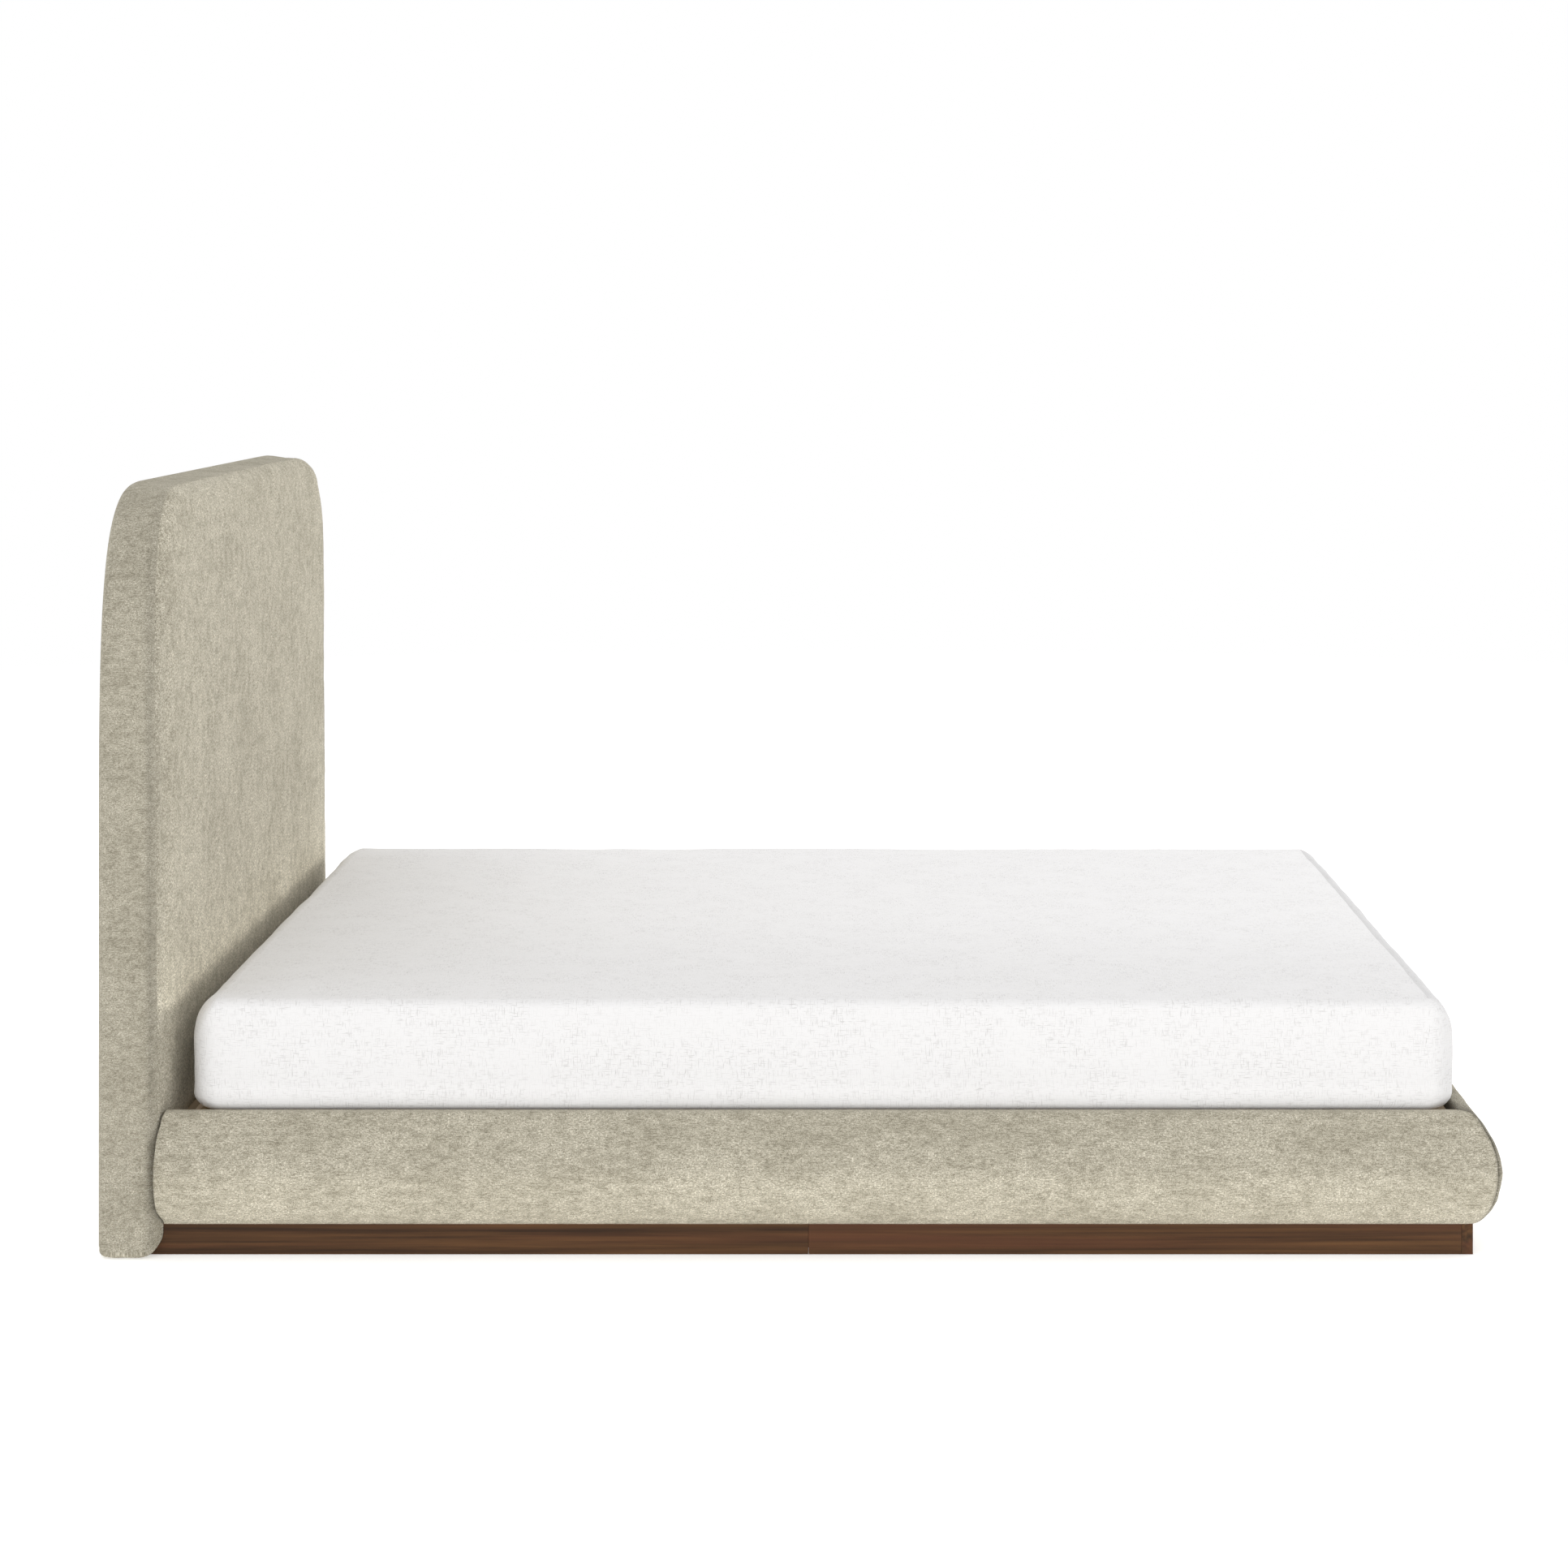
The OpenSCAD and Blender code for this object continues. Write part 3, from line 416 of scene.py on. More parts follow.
def make_headboard():
    """The band's cloth runs front to back and tilts round the top corners. The front's runs across."""
    back, front = HEAD_LO.x, HEAD_HI.x
    top_share = share_of_top()
    low_share = 1 - smooth((half_outline(np.zeros(HALF_COUNT))[:, 1] - BOTTOM_START) / BOTTOM_FADE)
    r = HEAD_SIDE_R + (HEAD_TOP_R - HEAD_SIDE_R) * top_share + (HEAD_BOTTOM_R - HEAD_SIDE_R) * low_share
    seam = SEAM_SIDE + (SEAM_TOP - SEAM_SIDE) * top_share
    levels = [(back + LAP_FORWARD, LAP_EDGE), (back, LAP_START)]
    levels += [(back + HEAD_REAR_R * (1 - math.sin(a)), HEAD_REAR_R * (1 - math.cos(a)))
               for a in arc(REAR_STEPS, 90, 0)]
    levels += [(x, 0.0) for x in np.linspace(back + HEAD_REAR_R, front - r, BAND_STEPS + 1)[1:-1]]
    turns = [seam * f for f in np.linspace(0, 1, 2 * VALLEY_RING + 1)]
    valley_ring = len(levels) + VALLEY_RING
    seam_ring = len(levels) + len(turns) - 1
    turns += [seam + (math.pi / 2 - seam) * f for f in np.linspace(0, 1, FRONT_STEPS + 1)[1:]]
    levels += [(front - r + r * np.sin(a), r - r * np.cos(a)) for a in turns]
    rings = head_rings(levels)
    across = run_length(close(rings))
    along = np.broadcast_to(run_length(close(rings)[seam_ring]), across.shape)
    tilt = close(whole_ring(share_of_top(TILT_START))[None])
    band_uv = np.stack([across, along + BAND_TILT * tilt * across], -1) * BAND_SLUB
    beyond = across - across[valley_ring]
    side = 1 - close(whole_ring(share_of_top(TOP_SHADE_START))[None])
    # Painted light more up the band, painted shade in the crease and to either side of it, and painted shade
    # over the top
    lift = BAND_PAINTED_LIGHT * smooth((close(rings)[..., 2] - LIFT_START) / LIFT_FADE)
    crease_painted_shade = FRONT_NAP * (1 - EDGE_PAINTED_SHADE)
    rear_tone_and_painted_light = BAND_NAP + lift - (BAND_NAP - crease_painted_shade) * np.exp(-(beyond / VALLEY_REAR) ** 2)
    near_tone_and_painted_shade = FRONT_NAP * (1 - EDGE_PAINTED_SHADE * np.exp(-np.maximum(beyond, 0) / VALLEY_FRONT))
    band_tone_and_painted_light = TOP_PAINTED_SHADE + (np.where(beyond > 0, near_tone_and_painted_shade, rear_tone_and_painted_light) - TOP_PAINTED_SHADE) * side

    # The front gets painted shade along the crease at its edges, and painted light just above the bed's rest
    # height, which stays there when the mattress is lifted
    def front_tone_and_painted_light(points):
        inward = np.maximum(HEAD_HI.y - np.abs(points[..., 1]), 0)
        below_top = smooth((HEAD_HI.z - CREASE_END - points[..., 2]) / CREASE_FADE)
        above_bed = points[..., 2] - MAT_HI.z
        glow = BED_GLOW * np.exp(-np.maximum(above_bed, 0) / BED_GLOW_REACH)
        glow = glow * smooth(above_bed / GLOW_FADE + 1)
        return FRONT_NAP * (1 + glow) * (1 - EDGE_PAINTED_SHADE * below_top * np.exp(-inward / VALLEY_FRONT))

    sheet = Sheet()
    index = close(sheet.add(rings))
    band, face = slice(0, seam_ring + 1), slice(seam_ring, None)
    sheet.grid(index[band], band_uv[band], band_tone_and_painted_light[band], flip=True)
    sheet.grid(index[face], unrolled_uv(close(rings)[face]), front_tone_and_painted_light(close(rings)[face]), flip=True)
    fill(sheet, index[-1][:-1], rings[-1], PATCH_SIDES, front_uv, front_tone_and_painted_light, flip=True)
    fill(sheet, index[0][:-1], rings[0], PATCH_SIDES, front_uv)
    piece = sheet.make("headboard_padding")
    crown_front(piece)
    return piece


def crown_front(piece):
    """Lets the front fall back a little towards its sides, more above the plinth than beside it."""
    points = coordinates(piece.data)
    inward = np.maximum(HEAD_HI.y - HEAD_SIDE_R - np.abs(points[:, 1]), 0)
    on_front = smooth((points[:, 0] - HEAD_HI.x + HEAD_SIDE_R) / HEAD_SIDE_R)
    share = PLINTH_CROWN + (1 - PLINTH_CROWN) * smooth((points[:, 2] - PLINTH_TOP) / PLINTH_FADE)
    share *= smooth((HEAD_HI.z - HEAD_TOP_R - points[:, 2]) / TOP_FADE)
    points[:, 0] -= HEAD_CROWN * on_front * share * np.exp(-(inward / CROWN_REACH) ** 2)
    piece.data.vertices.foreach_set("co", points.ravel())
    piece.data.update()


def outline_area(half):
    """Area inside an outline given by its half from the middle of the bottom to that of the top."""
    y, z = half.T
    return 2 * float(np.sum((y[1:] + y[:-1]) / 2 * np.diff(z)))


# The dust cloth's edge from the fold to inside the stapled line: depth from its rear face, and inset
DUST_EDGE = ((0.0008, 0), (0.0002, 0.0012), (0, 0.004), (0.0001, 0.0105), (0.0009, 0.012), (0.0004, 0.0135))


def make_dust_cloth():
    """The rear cloth, with its edge turned under and a stapled line just inside it."""
    inset = HEAD_HI.y - BACK_HI.y
    profile = [(BACK_HI.x, 0)] + [(BACK_LO.x + depth, d) for depth, d in DUST_EDGE]
    rings = head_rings([(x, inset + d) for x, d in profile])
    across = run_length(close(rings))
    along = np.broadcast_to(run_length(close(rings)[0]), across.shape)
    sheet = Sheet()
    index = close(sheet.add(rings))
    sheet.grid(index, np.stack([across, along], -1))
    fill(sheet, index[-1][:-1], rings[-1], PATCH_SIDES, lambda p: p[..., 1:])
    fill(sheet, index[0][:-1], rings[0], PATCH_SIDES, lambda p: p[..., 1:], flip=True)
    return sheet.make("rear_dust_cloth")


# ---------------------------------------------------------------- rails

# Section: steps round each side, up and down the bulge and round an edge, clearance from the board,
# depth of the inner flap, and thickness of the hem on the plinth
RAIL_STEPS, BULGE_STEPS, EDGE_STEPS = 58, 40, 6
BOARD_CLEAR, FLAP_DROP, HEM_THICK = 0.0002, 0.030, 0.0016

# Rows near an end, the first and the step of those between, and the turns of a mitred corner
END_ROWS = np.array([0, 0.0003, 0.0010, 0.0022, 0.0040, 0.0065])
ROW_START, ROW_STEP = 0.010, 0.005
CORNER_TURNS = np.radians([8, 16, 24, 30, 35, 39, 42, 44, 45])[:, None]

# At the headboard: how far out the crown and the gap are full, and where the end leaves the plinth
CROWN_FULL, GAP_FULL = 0.010, 0.015
END_START, END_FADE = 0.004, 0.040

# Where painted light and shade and the unevenness start, and the length over which they happen.
# SWELL_FULL is the share of the bulge at which the foot rail's swell is full
LOW_LIGHT_START, LOW_LIGHT_FADE = 0.012, 0.030
SHADE_START, SHADE_FADE = 0.02, 0.05
FACE_START, FACE_FADE, HEM_START, HEM_FADE = 0.006, 0.010, 0.002, 0.012
SWELL_FULL = 0.7


def bulge(z):
    """How far a rail's face stands out from its nominal face at height z."""
    upper = 1 - ((z - BULGE_Z) / (RAIL_TOP - BULGE_Z)) ** 2
    lower = np.maximum(1 - ((BULGE_Z - z) / (BULGE_Z - HEM_Z + HEM_GAP)) ** 2, 0) ** BULGE_POWER
    return BULGE_OUT * np.where(z > BULGE_Z, upper, lower)


def rail_section():
    """Outer and inner rows of a rail's padding: offsets out from the nominal face, and heights."""
    turn = math.atan((RAIL_TOP - BULGE_Z) / (2 * BULGE_OUT))
    inner_u, outer_u = BOARD_LO.y - SIDE_Y - BOARD_CLEAR, BOARD_HI.y - SIDE_Y + BOARD_CLEAR
    over_board = BOARD_HI.z + BOARD_CLEAR
    flap_z, hem_z = RAIL_TOP - FLAP_DROP, PLINTH_TOP + BOARD_CLEAR
    a = arc(EDGE_STEPS, 180, 90)
    inside_edge = np.column_stack([-RAIL_WALL + RAIL_INNER_R * (1 + np.cos(a)),
                                   RAIL_TOP - RAIL_INNER_R * (1 - np.sin(a))])
    a = math.pi / 2 - np.linspace(0, turn, EDGE_STEPS)
    top_edge = np.column_stack([RAIL_TOP_R * (np.cos(a) - math.tan(turn / 2)),
                                RAIL_TOP - RAIL_TOP_R * (1 - np.sin(a))])
    deep = BULGE_Z - HEM_Z
    z = np.r_[np.linspace(top_edge[-1, 1], BULGE_Z, BULGE_STEPS)[1:],
              BULGE_Z - deep * np.sin(arc(BULGE_STEPS)[1:])]
    hem = [[HEM_GAP, HEM_Z + HEM_GAP], [HEM_GAP, hem_z], [inner_u + COVER_T, hem_z]]
    outer = np.vstack([[[-RAIL_WALL, flap_z]], inside_edge, top_edge, np.column_stack([bulge(z), z]), hem])
    inner = np.array([[inner_u, flap_z], [inner_u, over_board], [outer_u, over_board],
                      [outer_u, hem_z + HEM_THICK], [inner_u + COVER_T, hem_z + HEM_THICK]])
    return spread(outer, RAIL_STEPS), spread(inner, RAIL_STEPS)


def head_end_x(u, z):
    """Where a side rail meets the headboard's rounded edge, u out from the rail's nominal face."""
    round_start = HEAD_HI.y - HEAD_SIDE_R
    out = np.clip(SIDE_Y + u - round_start, 0, HEAD_SIDE_R)
    depth = HEAD_SIDE_R - np.sqrt(HEAD_SIDE_R ** 2 - out ** 2) + HEAD_CROWN * smooth(u / CROWN_FULL)
    depth = depth * smooth((z - HEM_Z + END_START) / END_FADE)
    gap = HEAD_GAP_TOP + (HEAD_GAP - HEAD_GAP_TOP) * smooth(u / GAP_FULL)
    return HEAD_HI.x - RAIL_END_REACH * np.tanh(depth / RAIL_END_REACH) + gap


def corner_radius(u):
    """Radius of a rail's mitred corner, for cloth that lies u out from the nominal face."""
    return np.maximum(CORNER_SHARE * u, CORNER_LEAST)


def rail_rows(first, last, u, turned):
    """Rows along a rail whose section points have offsets u. Each row has its points' places along
    and out, the way that its outside faces, and how far each point has come along the cloth."""
    length = np.max(last - first)
    even = np.linspace(ROW_START, length - ROW_START, int(length / ROW_STEP))
    share = np.r_[END_ROWS, even, length - END_ROWS[::-1]] / length
    along = first + (last - first) * share[:, None]
    out = np.broadcast_to(u, along.shape)
    way, path = np.zeros(len(along)), along.copy()
    r = corner_radius(u)
    reach, lift, cloth = r * np.sin(CORNER_TURNS), r * (np.cos(CORNER_TURNS) - 1), r * CORNER_TURNS
    if turned[1]:
        along = np.vstack([along, last + reach])
        out = np.vstack([out, u + lift])
        way, path = np.r_[way, CORNER_TURNS[:, 0]], np.vstack([path, last + cloth])
    if turned[0]:
        along = np.vstack([(first - reach)[::-1], along])
        out = np.vstack([(u + lift)[::-1], out])
        way, path = np.r_[-CORNER_TURNS[::-1, 0], way], np.vstack([(first - cloth)[::-1], path])
    return along, out, way[:, None], path


def end_depth(s, turned):
    """How deep the cloth lies at distance s from a mitred end or from the headboard's end."""
    rounded, valley = (MITRE_ROUND, MITRE_VALLEY) if turned else (HEAD_END_ROUND, 0.0)
    inside = np.clip(rounded - s, 0, rounded)
    return rounded - np.sqrt(rounded ** 2 - inside ** 2) + valley * np.exp(-(s / VALLEY_REACH) ** 2)


def make_rail(name, first, last, turned, place, seam_shade_reach=SEAM_SHADE_REACH, shaded=0.0):
    """Padding of one rail. first and last give each section point's ends along the rail, turned says
    which ends turn a rounded mitred corner, and place maps (along, out, up) to the bed's frame.
    shaded is how much painted shade lies on its upper half."""
    outer, inner = rail_section()
    section = np.vstack([outer, inner[::-1]])
    count, u, z = len(outer), section[:, 0], section[:, 1]
    along, out, way, path = rail_rows(first(u, z), last(u, z), u, turned)
    tangent = np.gradient(outer, axis=0)
    normal = np.column_stack([-tangent[:, 1], tangent[:, 0]])
    normal = np.vstack([normal / np.linalg.norm(normal, axis=1, keepdims=True), np.zeros_like(inner)])
    from_ends = path - path[0], path[-1] - path
    depth = np.maximum(end_depth(from_ends[0], turned[0]), end_depth(from_ends[1], turned[1]))
    gap = np.zeros(along.shape)
    gap[0], gap[-1] = MITRE_GAP * turned[0], -MITRE_GAP * turned[1]
    along = along + gap - depth * normal[:, 0] * np.sin(way)
    out = out - np.abs(gap) - depth * normal[:, 0] * np.cos(way)
    rings = place(along, out, z - depth * normal[:, 1])
    around = run_length(np.vstack([section, section[:1]]))
    uv = np.stack([close(path), np.broadcast_to(around, (len(path), len(around)))], -1)
    # Painted light under the bulge, painted shade along the inner fold, and painted shade over the upper
    # half as much as shaded says
    tone_and_painted_light = RAIL_NAP + LOW_PAINTED_LIGHT * smooth((BULGE_Z + LOW_LIGHT_START - z) / LOW_LIGHT_FADE)
    tone_and_painted_light = tone_and_painted_light - FOLD_PAINTED_SHADE * np.exp(-((u + RAIL_WALL) / FOLD_REACH) ** 2) * (z > BULGE_Z)
    tone_and_painted_light = tone_and_painted_light * (1 - shaded * smooth((z - BULGE_Z - SHADE_START) / SHADE_FADE))
    reaches = [seam_shade_reach if turn else HEAD_SEAM_SHADE_REACH for turn in turned]
    # Painted shade along the seams at the rail's ends
    seam_shade = np.maximum(*[np.exp(-(s / reach) ** 2) for s, reach in zip(from_ends, reaches)])
    nap_and_painted_light = tone_and_painted_light * (1 - SEAM_PAINTED_SHADE * seam_shade)
    sheet = Sheet()
    index = sheet.add(rings)
    sheet.grid(close(index), uv, close(nap_and_painted_light))
    for end, flip in ((0, True), (-1, False)):
        strip = np.stack([index[end][:count], index[end][count:][::-1]])
        cap_uv = np.stack([section[:count], section[count:][::-1]])
        # The end caps carry the seams' painted shade all over
        sheet.grid(strip, cap_uv, 1 - SEAM_PAINTED_SHADE, flip)
    return sheet.make(name)


def over_bulge(points):
    """0 on a rail's flat inner faces and hem, and 1 on its padded outside."""
    out = np.maximum(np.abs(points[:, 1]) - SIDE_Y, points[:, 0] - FOOT_X)
    above_hem = smooth((points[:, 2] - PLINTH_TOP - HEM_START) / HEM_FADE)
    return smooth((out + FACE_START) / FACE_FADE) * above_hem


def make_side_rail(name, side):
    def place(along, out, up):
        return np.stack([along, side * (SIDE_Y + out), np.broadcast_to(up, along.shape)], -1)

    piece = make_rail(name, head_end_x, lambda u, z: FOOT_X + u - corner_radius(u), (False, True), place)
    if side < 0:
        piece.data.flip_normals()
    return piece


def make_foot_rail(name):
    def reach(u, z):
        return SIDE_Y + u - corner_radius(u)

    def place(along, out, up):
        swell = FOOT_SWELL * smooth(out / (SWELL_FULL * BULGE_OUT))
        return np.stack([FOOT_X + out + swell, -along, np.broadcast_to(up, along.shape)], -1)

    return make_rail(name, lambda u, z: -reach(u, z), reach, (True, True), place,
                     FOOT_SEAM_SHADE_REACH, FOOT_SHADE)


# ---------------------------------------------------------------- mattress

# Steps along the outline's sides and corners, and up the lower rounding, the side and the upper one
MAT_X_RUN, MAT_Y_RUN, MAT_ARC, MAT_BOTTOM, MAT_SIDE, MAT_ROUND = 190, 140, 12, 6, 14, 10

# Where painted light and changes of shape start, and the length over which they happen
LIGHT_START, LIGHT_FADE = 0.020, 0.03
FAR_START, FAR_FADE, AWAY_START, AWAY_FADE = 0.65, 0.7, 0.96, 0.6
OVER_START, OVER_FADE, LEAN_START, LEAN_FADE = 0.008, 0.022, 0.25, 0.2


def mat_turns():
    """Angles round the mattress's outline and the places of its corners' middles along it, from the
    middle of its rounded corner at -X, -Y."""
    mid, half = (MAT_LO + MAT_HI) / 2, (MAT_HI - MAT_LO) / 2
    x, y = half.x - MAT_CORNER_R, half.y - MAT_CORNER_R
    stops = ((x, -y, -90, MAT_Y_RUN), (x, y, 0, MAT_X_RUN),
             (-x, y, 90, MAT_Y_RUN), (-x, -y, 180, MAT_X_RUN))
    centres, turns = [], []
    for k, (cx, cy, start, run) in enumerate(stops):
        corner = arc(MAT_ARC, start, start + 90)
        t = np.linspace(0, 1, run + 1)[1:-1, None]
        centres += [np.tile([cx, cy], (len(corner), 1)),
                    np.array([cx, cy]) * (1 - t) + np.array(stops[(k + 1) % 4][:2]) * t]
        turns += [corner, np.full(run - 1, corner[-1])]
    back = MAT_X_RUN + MAT_ARC // 2
    centres = np.vstack(centres) + [mid.x, mid.y]
    return np.roll(np.concatenate(turns), back), np.roll(centres, back, axis=0)


def mat_rings():
    """Rings up the mattress, each a rounded rectangle, and how far each point lies at an end. The
    top edge is tight along the sides and falls away at the ends."""
    turns, centres = mat_turns()
    at_end = smooth(np.abs(np.cos(turns)))
    edge_z = RAIL_TOP - MAT_FOLD_Z
    low, top = ([np.array(pair) for pair in zip(side, end)]
                for side, end in ((MAT_SIDE_LOW, MAT_END_LOW), (MAT_SIDE_TOP, MAT_END_TOP)))
    levels = [(np.full(2, MAT_LO.z), np.full(2, MAT_FOLD_IN))]
    levels += [(edge_z + low[1] * (1 - math.cos(a)), low[0] * (1 - math.sin(a))) for a in arc(MAT_BOTTOM)]
    side_low, side_high = edge_z + low[1], MAT_HI.z - top[1]
    levels += [(side_low + f * (side_high - side_low), np.zeros(2))
               for f in np.linspace(0, 1, MAT_SIDE)[1:-1]]
    levels += [(side_high + top[1] * math.sin(a), top[0] * (1 - math.cos(a))) for a in arc(MAT_ROUND)]
    rings = []
    for z, inset in levels:
        x = centres[:, 0] + (MAT_CORNER_R - inset[1]) * np.cos(turns)
        y = centres[:, 1] + (MAT_CORNER_R - inset[0]) * np.sin(turns)
        rings.append(np.column_stack([x, y, z[0] + (z[1] - z[0]) * at_end]))
    return np.array(rings), at_end


def top_painted_light(points):
    """Painted light on the mattress's top, which lightens towards its far side but not by the headboard."""
    far = smooth((points[..., 1] + FAR_START) / FAR_FADE)
    return 1 + MAT_FAR_PAINTED_LIGHT * far * smooth((points[..., 0] + AWAY_START) / AWAY_FADE)


def make_mattress():
    """The ticking, which leans out over the rails at its head and foot."""
    sheet = Sheet()
    rings, at_end = mat_rings()
    across = run_length(close(rings))
    along = np.broadcast_to(run_length(close(rings[MAT_BOTTOM][None])[0]), across.shape)
    index = sheet.add(rings)
    # Painted light low down on the sides, and painted shade towards the foot end
    above = smooth((close(rings)[..., 2] - RAIL_TOP - LIGHT_START) / LIGHT_FADE)
    nap_and_painted_light = MAT_LOW_LIGHT + (1 - MAT_LOW_LIGHT) * above
    to_foot = (close(rings)[..., 0] > 0) * close(at_end[None])
    sheet.grid(close(index), np.stack([along, across], -1), nap_and_painted_light * (1 - MAT_FOOT_SHADE * to_foot), flip=True)
    sides = (MAT_X_RUN + MAT_ARC, MAT_Y_RUN + MAT_ARC) * 2
    fill(sheet, index[-1], rings[-1], sides, lambda p: p[..., :2], top_painted_light, flip=True)
    fill(sheet, index[0], rings[0], sides, lambda p: p[..., :2])
    piece = sheet.make("mattress_ticking")
    points = coordinates(piece.data)
    over_rail = smooth((points[:, 2] - RAIL_TOP + OVER_START) / OVER_FADE)
    points[:, 0] += MAT_LEAN_FOOT * over_rail * smooth((points[:, 0] - MAT_HI.x + LEAN_START) / LEAN_FADE)
    points[:, 0] -= MAT_LEAN_HEAD * over_rail * smooth((MAT_LO.x + LEAN_START - points[:, 0]) / LEAN_FADE)
    piece.data.vertices.foreach_set("co", points.ravel())
    return piece


# ---------------------------------------------------------------- materials

# Noise scales are features for each metre, along U and V of the weave map or along X, Y and Z.
# A mix node's colour sockets go by number, because their names repeat.

def colour(r, g, b):
    """Display values from 0 to 255 as a linear colour."""
    values = [v / 255 for v in (r, g, b)]
    return (*[v / 12.92 if v <= 0.04045 else ((v + 0.055) / 1.055) ** 2.4 for v in values], 1.0)


class Nodes:
    """A small helper that adds nodes to one material and joins them."""

    def __init__(self, name):
        self.material = bpy.data.materials.new(name)
        self.material.use_nodes = True
        self.tree = self.material.node_tree
        self.shader = self.tree.nodes["Principled BSDF"]

    def add(self, kind, inputs=None, **settings):
        node = self.tree.nodes.new(kind)
        for key, value in settings.items():
            setattr(node, key, value)
        for key, value in (inputs or {}).items():
            self.put(node.inputs[key], value)
        return node

    def put(self, socket, value):
        if isinstance(value, bpy.types.NodeSocket):
            self.tree.links.new(value, socket)
        else:
            socket.default_value = value

    def set(self, **inputs):
        """Sets the shader's inputs, with _ for each space in their names."""
        for key, value in inputs.items():
            self.put(self.shader.inputs[key.replace("_", " ")], value)

    def place(self, source, scale, offset=(0, 0, 0)):
        mapping = {"Vector": source, "Scale": scale, "Location": offset}
        return self.add("ShaderNodeMapping", mapping).outputs[0]

    def noise(self, vector, scale=1.0, detail=2.0, roughness=0.5, distortion=0.0):
        node = self.add("ShaderNodeTexNoise", {"Vector": vector, "Scale": scale, "Detail": detail,
                                               "Roughness": roughness, "Distortion": distortion})
        return node.outputs["Fac"]

    def math(self, operation, a, b=0.0):
        node = self.add("ShaderNodeMath", operation=operation)
        self.put(node.inputs[0], a)
        self.put(node.inputs[1], b)
        return node.outputs[0]

    def spread(self, value, low, high, to_low=0.0, to_high=1.0):
        node = self.add("ShaderNodeMapRange", {"Value": value, "From Min": low, "From Max": high,
                                               "To Min": to_low, "To Max": to_high})
        return node.outputs[0]

    def mix(self, factor, a, b):
        node = self.add("ShaderNodeMix", data_type="RGBA")
        self.put(node.inputs["Factor"], factor)
        self.put(node.inputs[6], a)
        self.put(node.inputs[7], b)
        return node.outputs[2]

    def with_nap_and_painted_light(self, base):
        """The colour base, scaled by the mesh's factor of tone with painted shade and painted light."""
        nap_and_painted_light = self.add("ShaderNodeAttribute", attribute_name="nap_and_painted_light").outputs["Fac"]
        return self.add("ShaderNodeVectorMath", {0: base, "Scale": nap_and_painted_light}, operation="SCALE").outputs[0]

    def bump(self, height, distance, strength):
        node = self.add("ShaderNodeBump", {"Height": height, "Distance": distance, "Strength": strength})
        return node.outputs[0]


def heathered_chenille(name):
    """Oatmeal chenille: slubs along U, cream flecks in clusters, and a soft pile."""
    n = Nodes(name)
    uv = n.add("ShaderNodeUVMap", uv_map="weave").outputs[0]
    slub = n.noise(n.place(uv, (145, 420, 1)), detail=2, roughness=0.6)
    grain = n.noise(n.place(uv, (620, 980, 1), (3.1, 7.7, 0)), detail=1, roughness=0.5)
    blotch = n.noise(n.place(uv, (42, 88, 1), (5.5, 2.5, 0)), detail=2, roughness=0.5)
    cloud = n.noise(n.place(uv, (7, 12, 1), (9.5, 1.5, 0)), detail=3, roughness=0.55)
    speck = n.noise(n.place(uv, (280, 520, 1), (0.7, 4.2, 0)), detail=1)
    yarn = n.math("ADD", n.math("MULTIPLY", slub, 0.45), n.math("MULTIPLY", grain, 0.55))
    yarn = n.math("ADD", yarn, n.math("MULTIPLY", n.math("SUBTRACT", blotch, 0.5), 0.18))
    yarn = n.math("ADD", yarn, n.math("MULTIPLY", n.math("SUBTRACT", cloud, 0.5), 0.10))
    dark, mid, light = (colour(*rgb) for rgb in YARN_TONES)
    base = n.mix(n.spread(yarn, 0.39, 0.50), dark, mid)
    base = n.mix(n.spread(yarn, 0.50, 0.61), base, light)
    cluster = n.spread(n.math("ADD", blotch, cloud), 0.80, 1.16)
    fleck = n.math("MULTIPLY", n.spread(speck, 0.56, 0.63), cluster)
    base = n.mix(n.math("MULTIPLY", fleck, 0.8), base, colour(*CREAM_FLECK))
    height = n.math("ADD", yarn, n.math("MULTIPLY", fleck, 0.25))
    n.set(Base_Color=n.with_nap_and_painted_light(base), Roughness=0.95, Specular_IOR_Level=0.1, Sheen_Weight=0.22,
          Sheen_Roughness=0.5, Sheen_Tint=colour(232, 226, 210), Normal=n.bump(height, 0.0022, 0.6))
    return n.material


def mattress_linen(name):
    """White ticking with a fine two-way linen weave and faint grey threads."""
    n = Nodes(name)
    uv = n.add("ShaderNodeUVMap", uv_map="weave").outputs[0]
    weft = n.noise(n.place(uv, (60, 620, 1)), detail=2, roughness=0.6)
    warp = n.noise(n.place(uv, (620, 60, 1), (2.2, 5.1, 0)), detail=2, roughness=0.6)
    cloud = n.noise(n.place(uv, (14, 14, 1)), detail=3, roughness=0.6)
    threads = n.math("MULTIPLY", n.math("ADD", weft, warp), 0.5)
    thin = n.math("MINIMUM", weft, warp)
    thin = n.math("MULTIPLY", n.spread(thin, 0.44, 0.33), n.spread(cloud, 0.38, 0.62, 0.25, 0.85))
    base = n.mix(thin, colour(*LINEN), colour(*LINEN_THIN))
    n.set(Base_Color=n.with_nap_and_painted_light(base), Roughness=0.9, Specular_IOR_Level=0.15, Sheen_Weight=0.08,
          Sheen_Roughness=0.5, Normal=n.bump(threads, 0.0010, 0.35))
    return n.material


GRAIN_ALONG, PORES_IN_RING, PORES_ALONG, TINT_SCALE = 1.6, 22, 11, 0.45


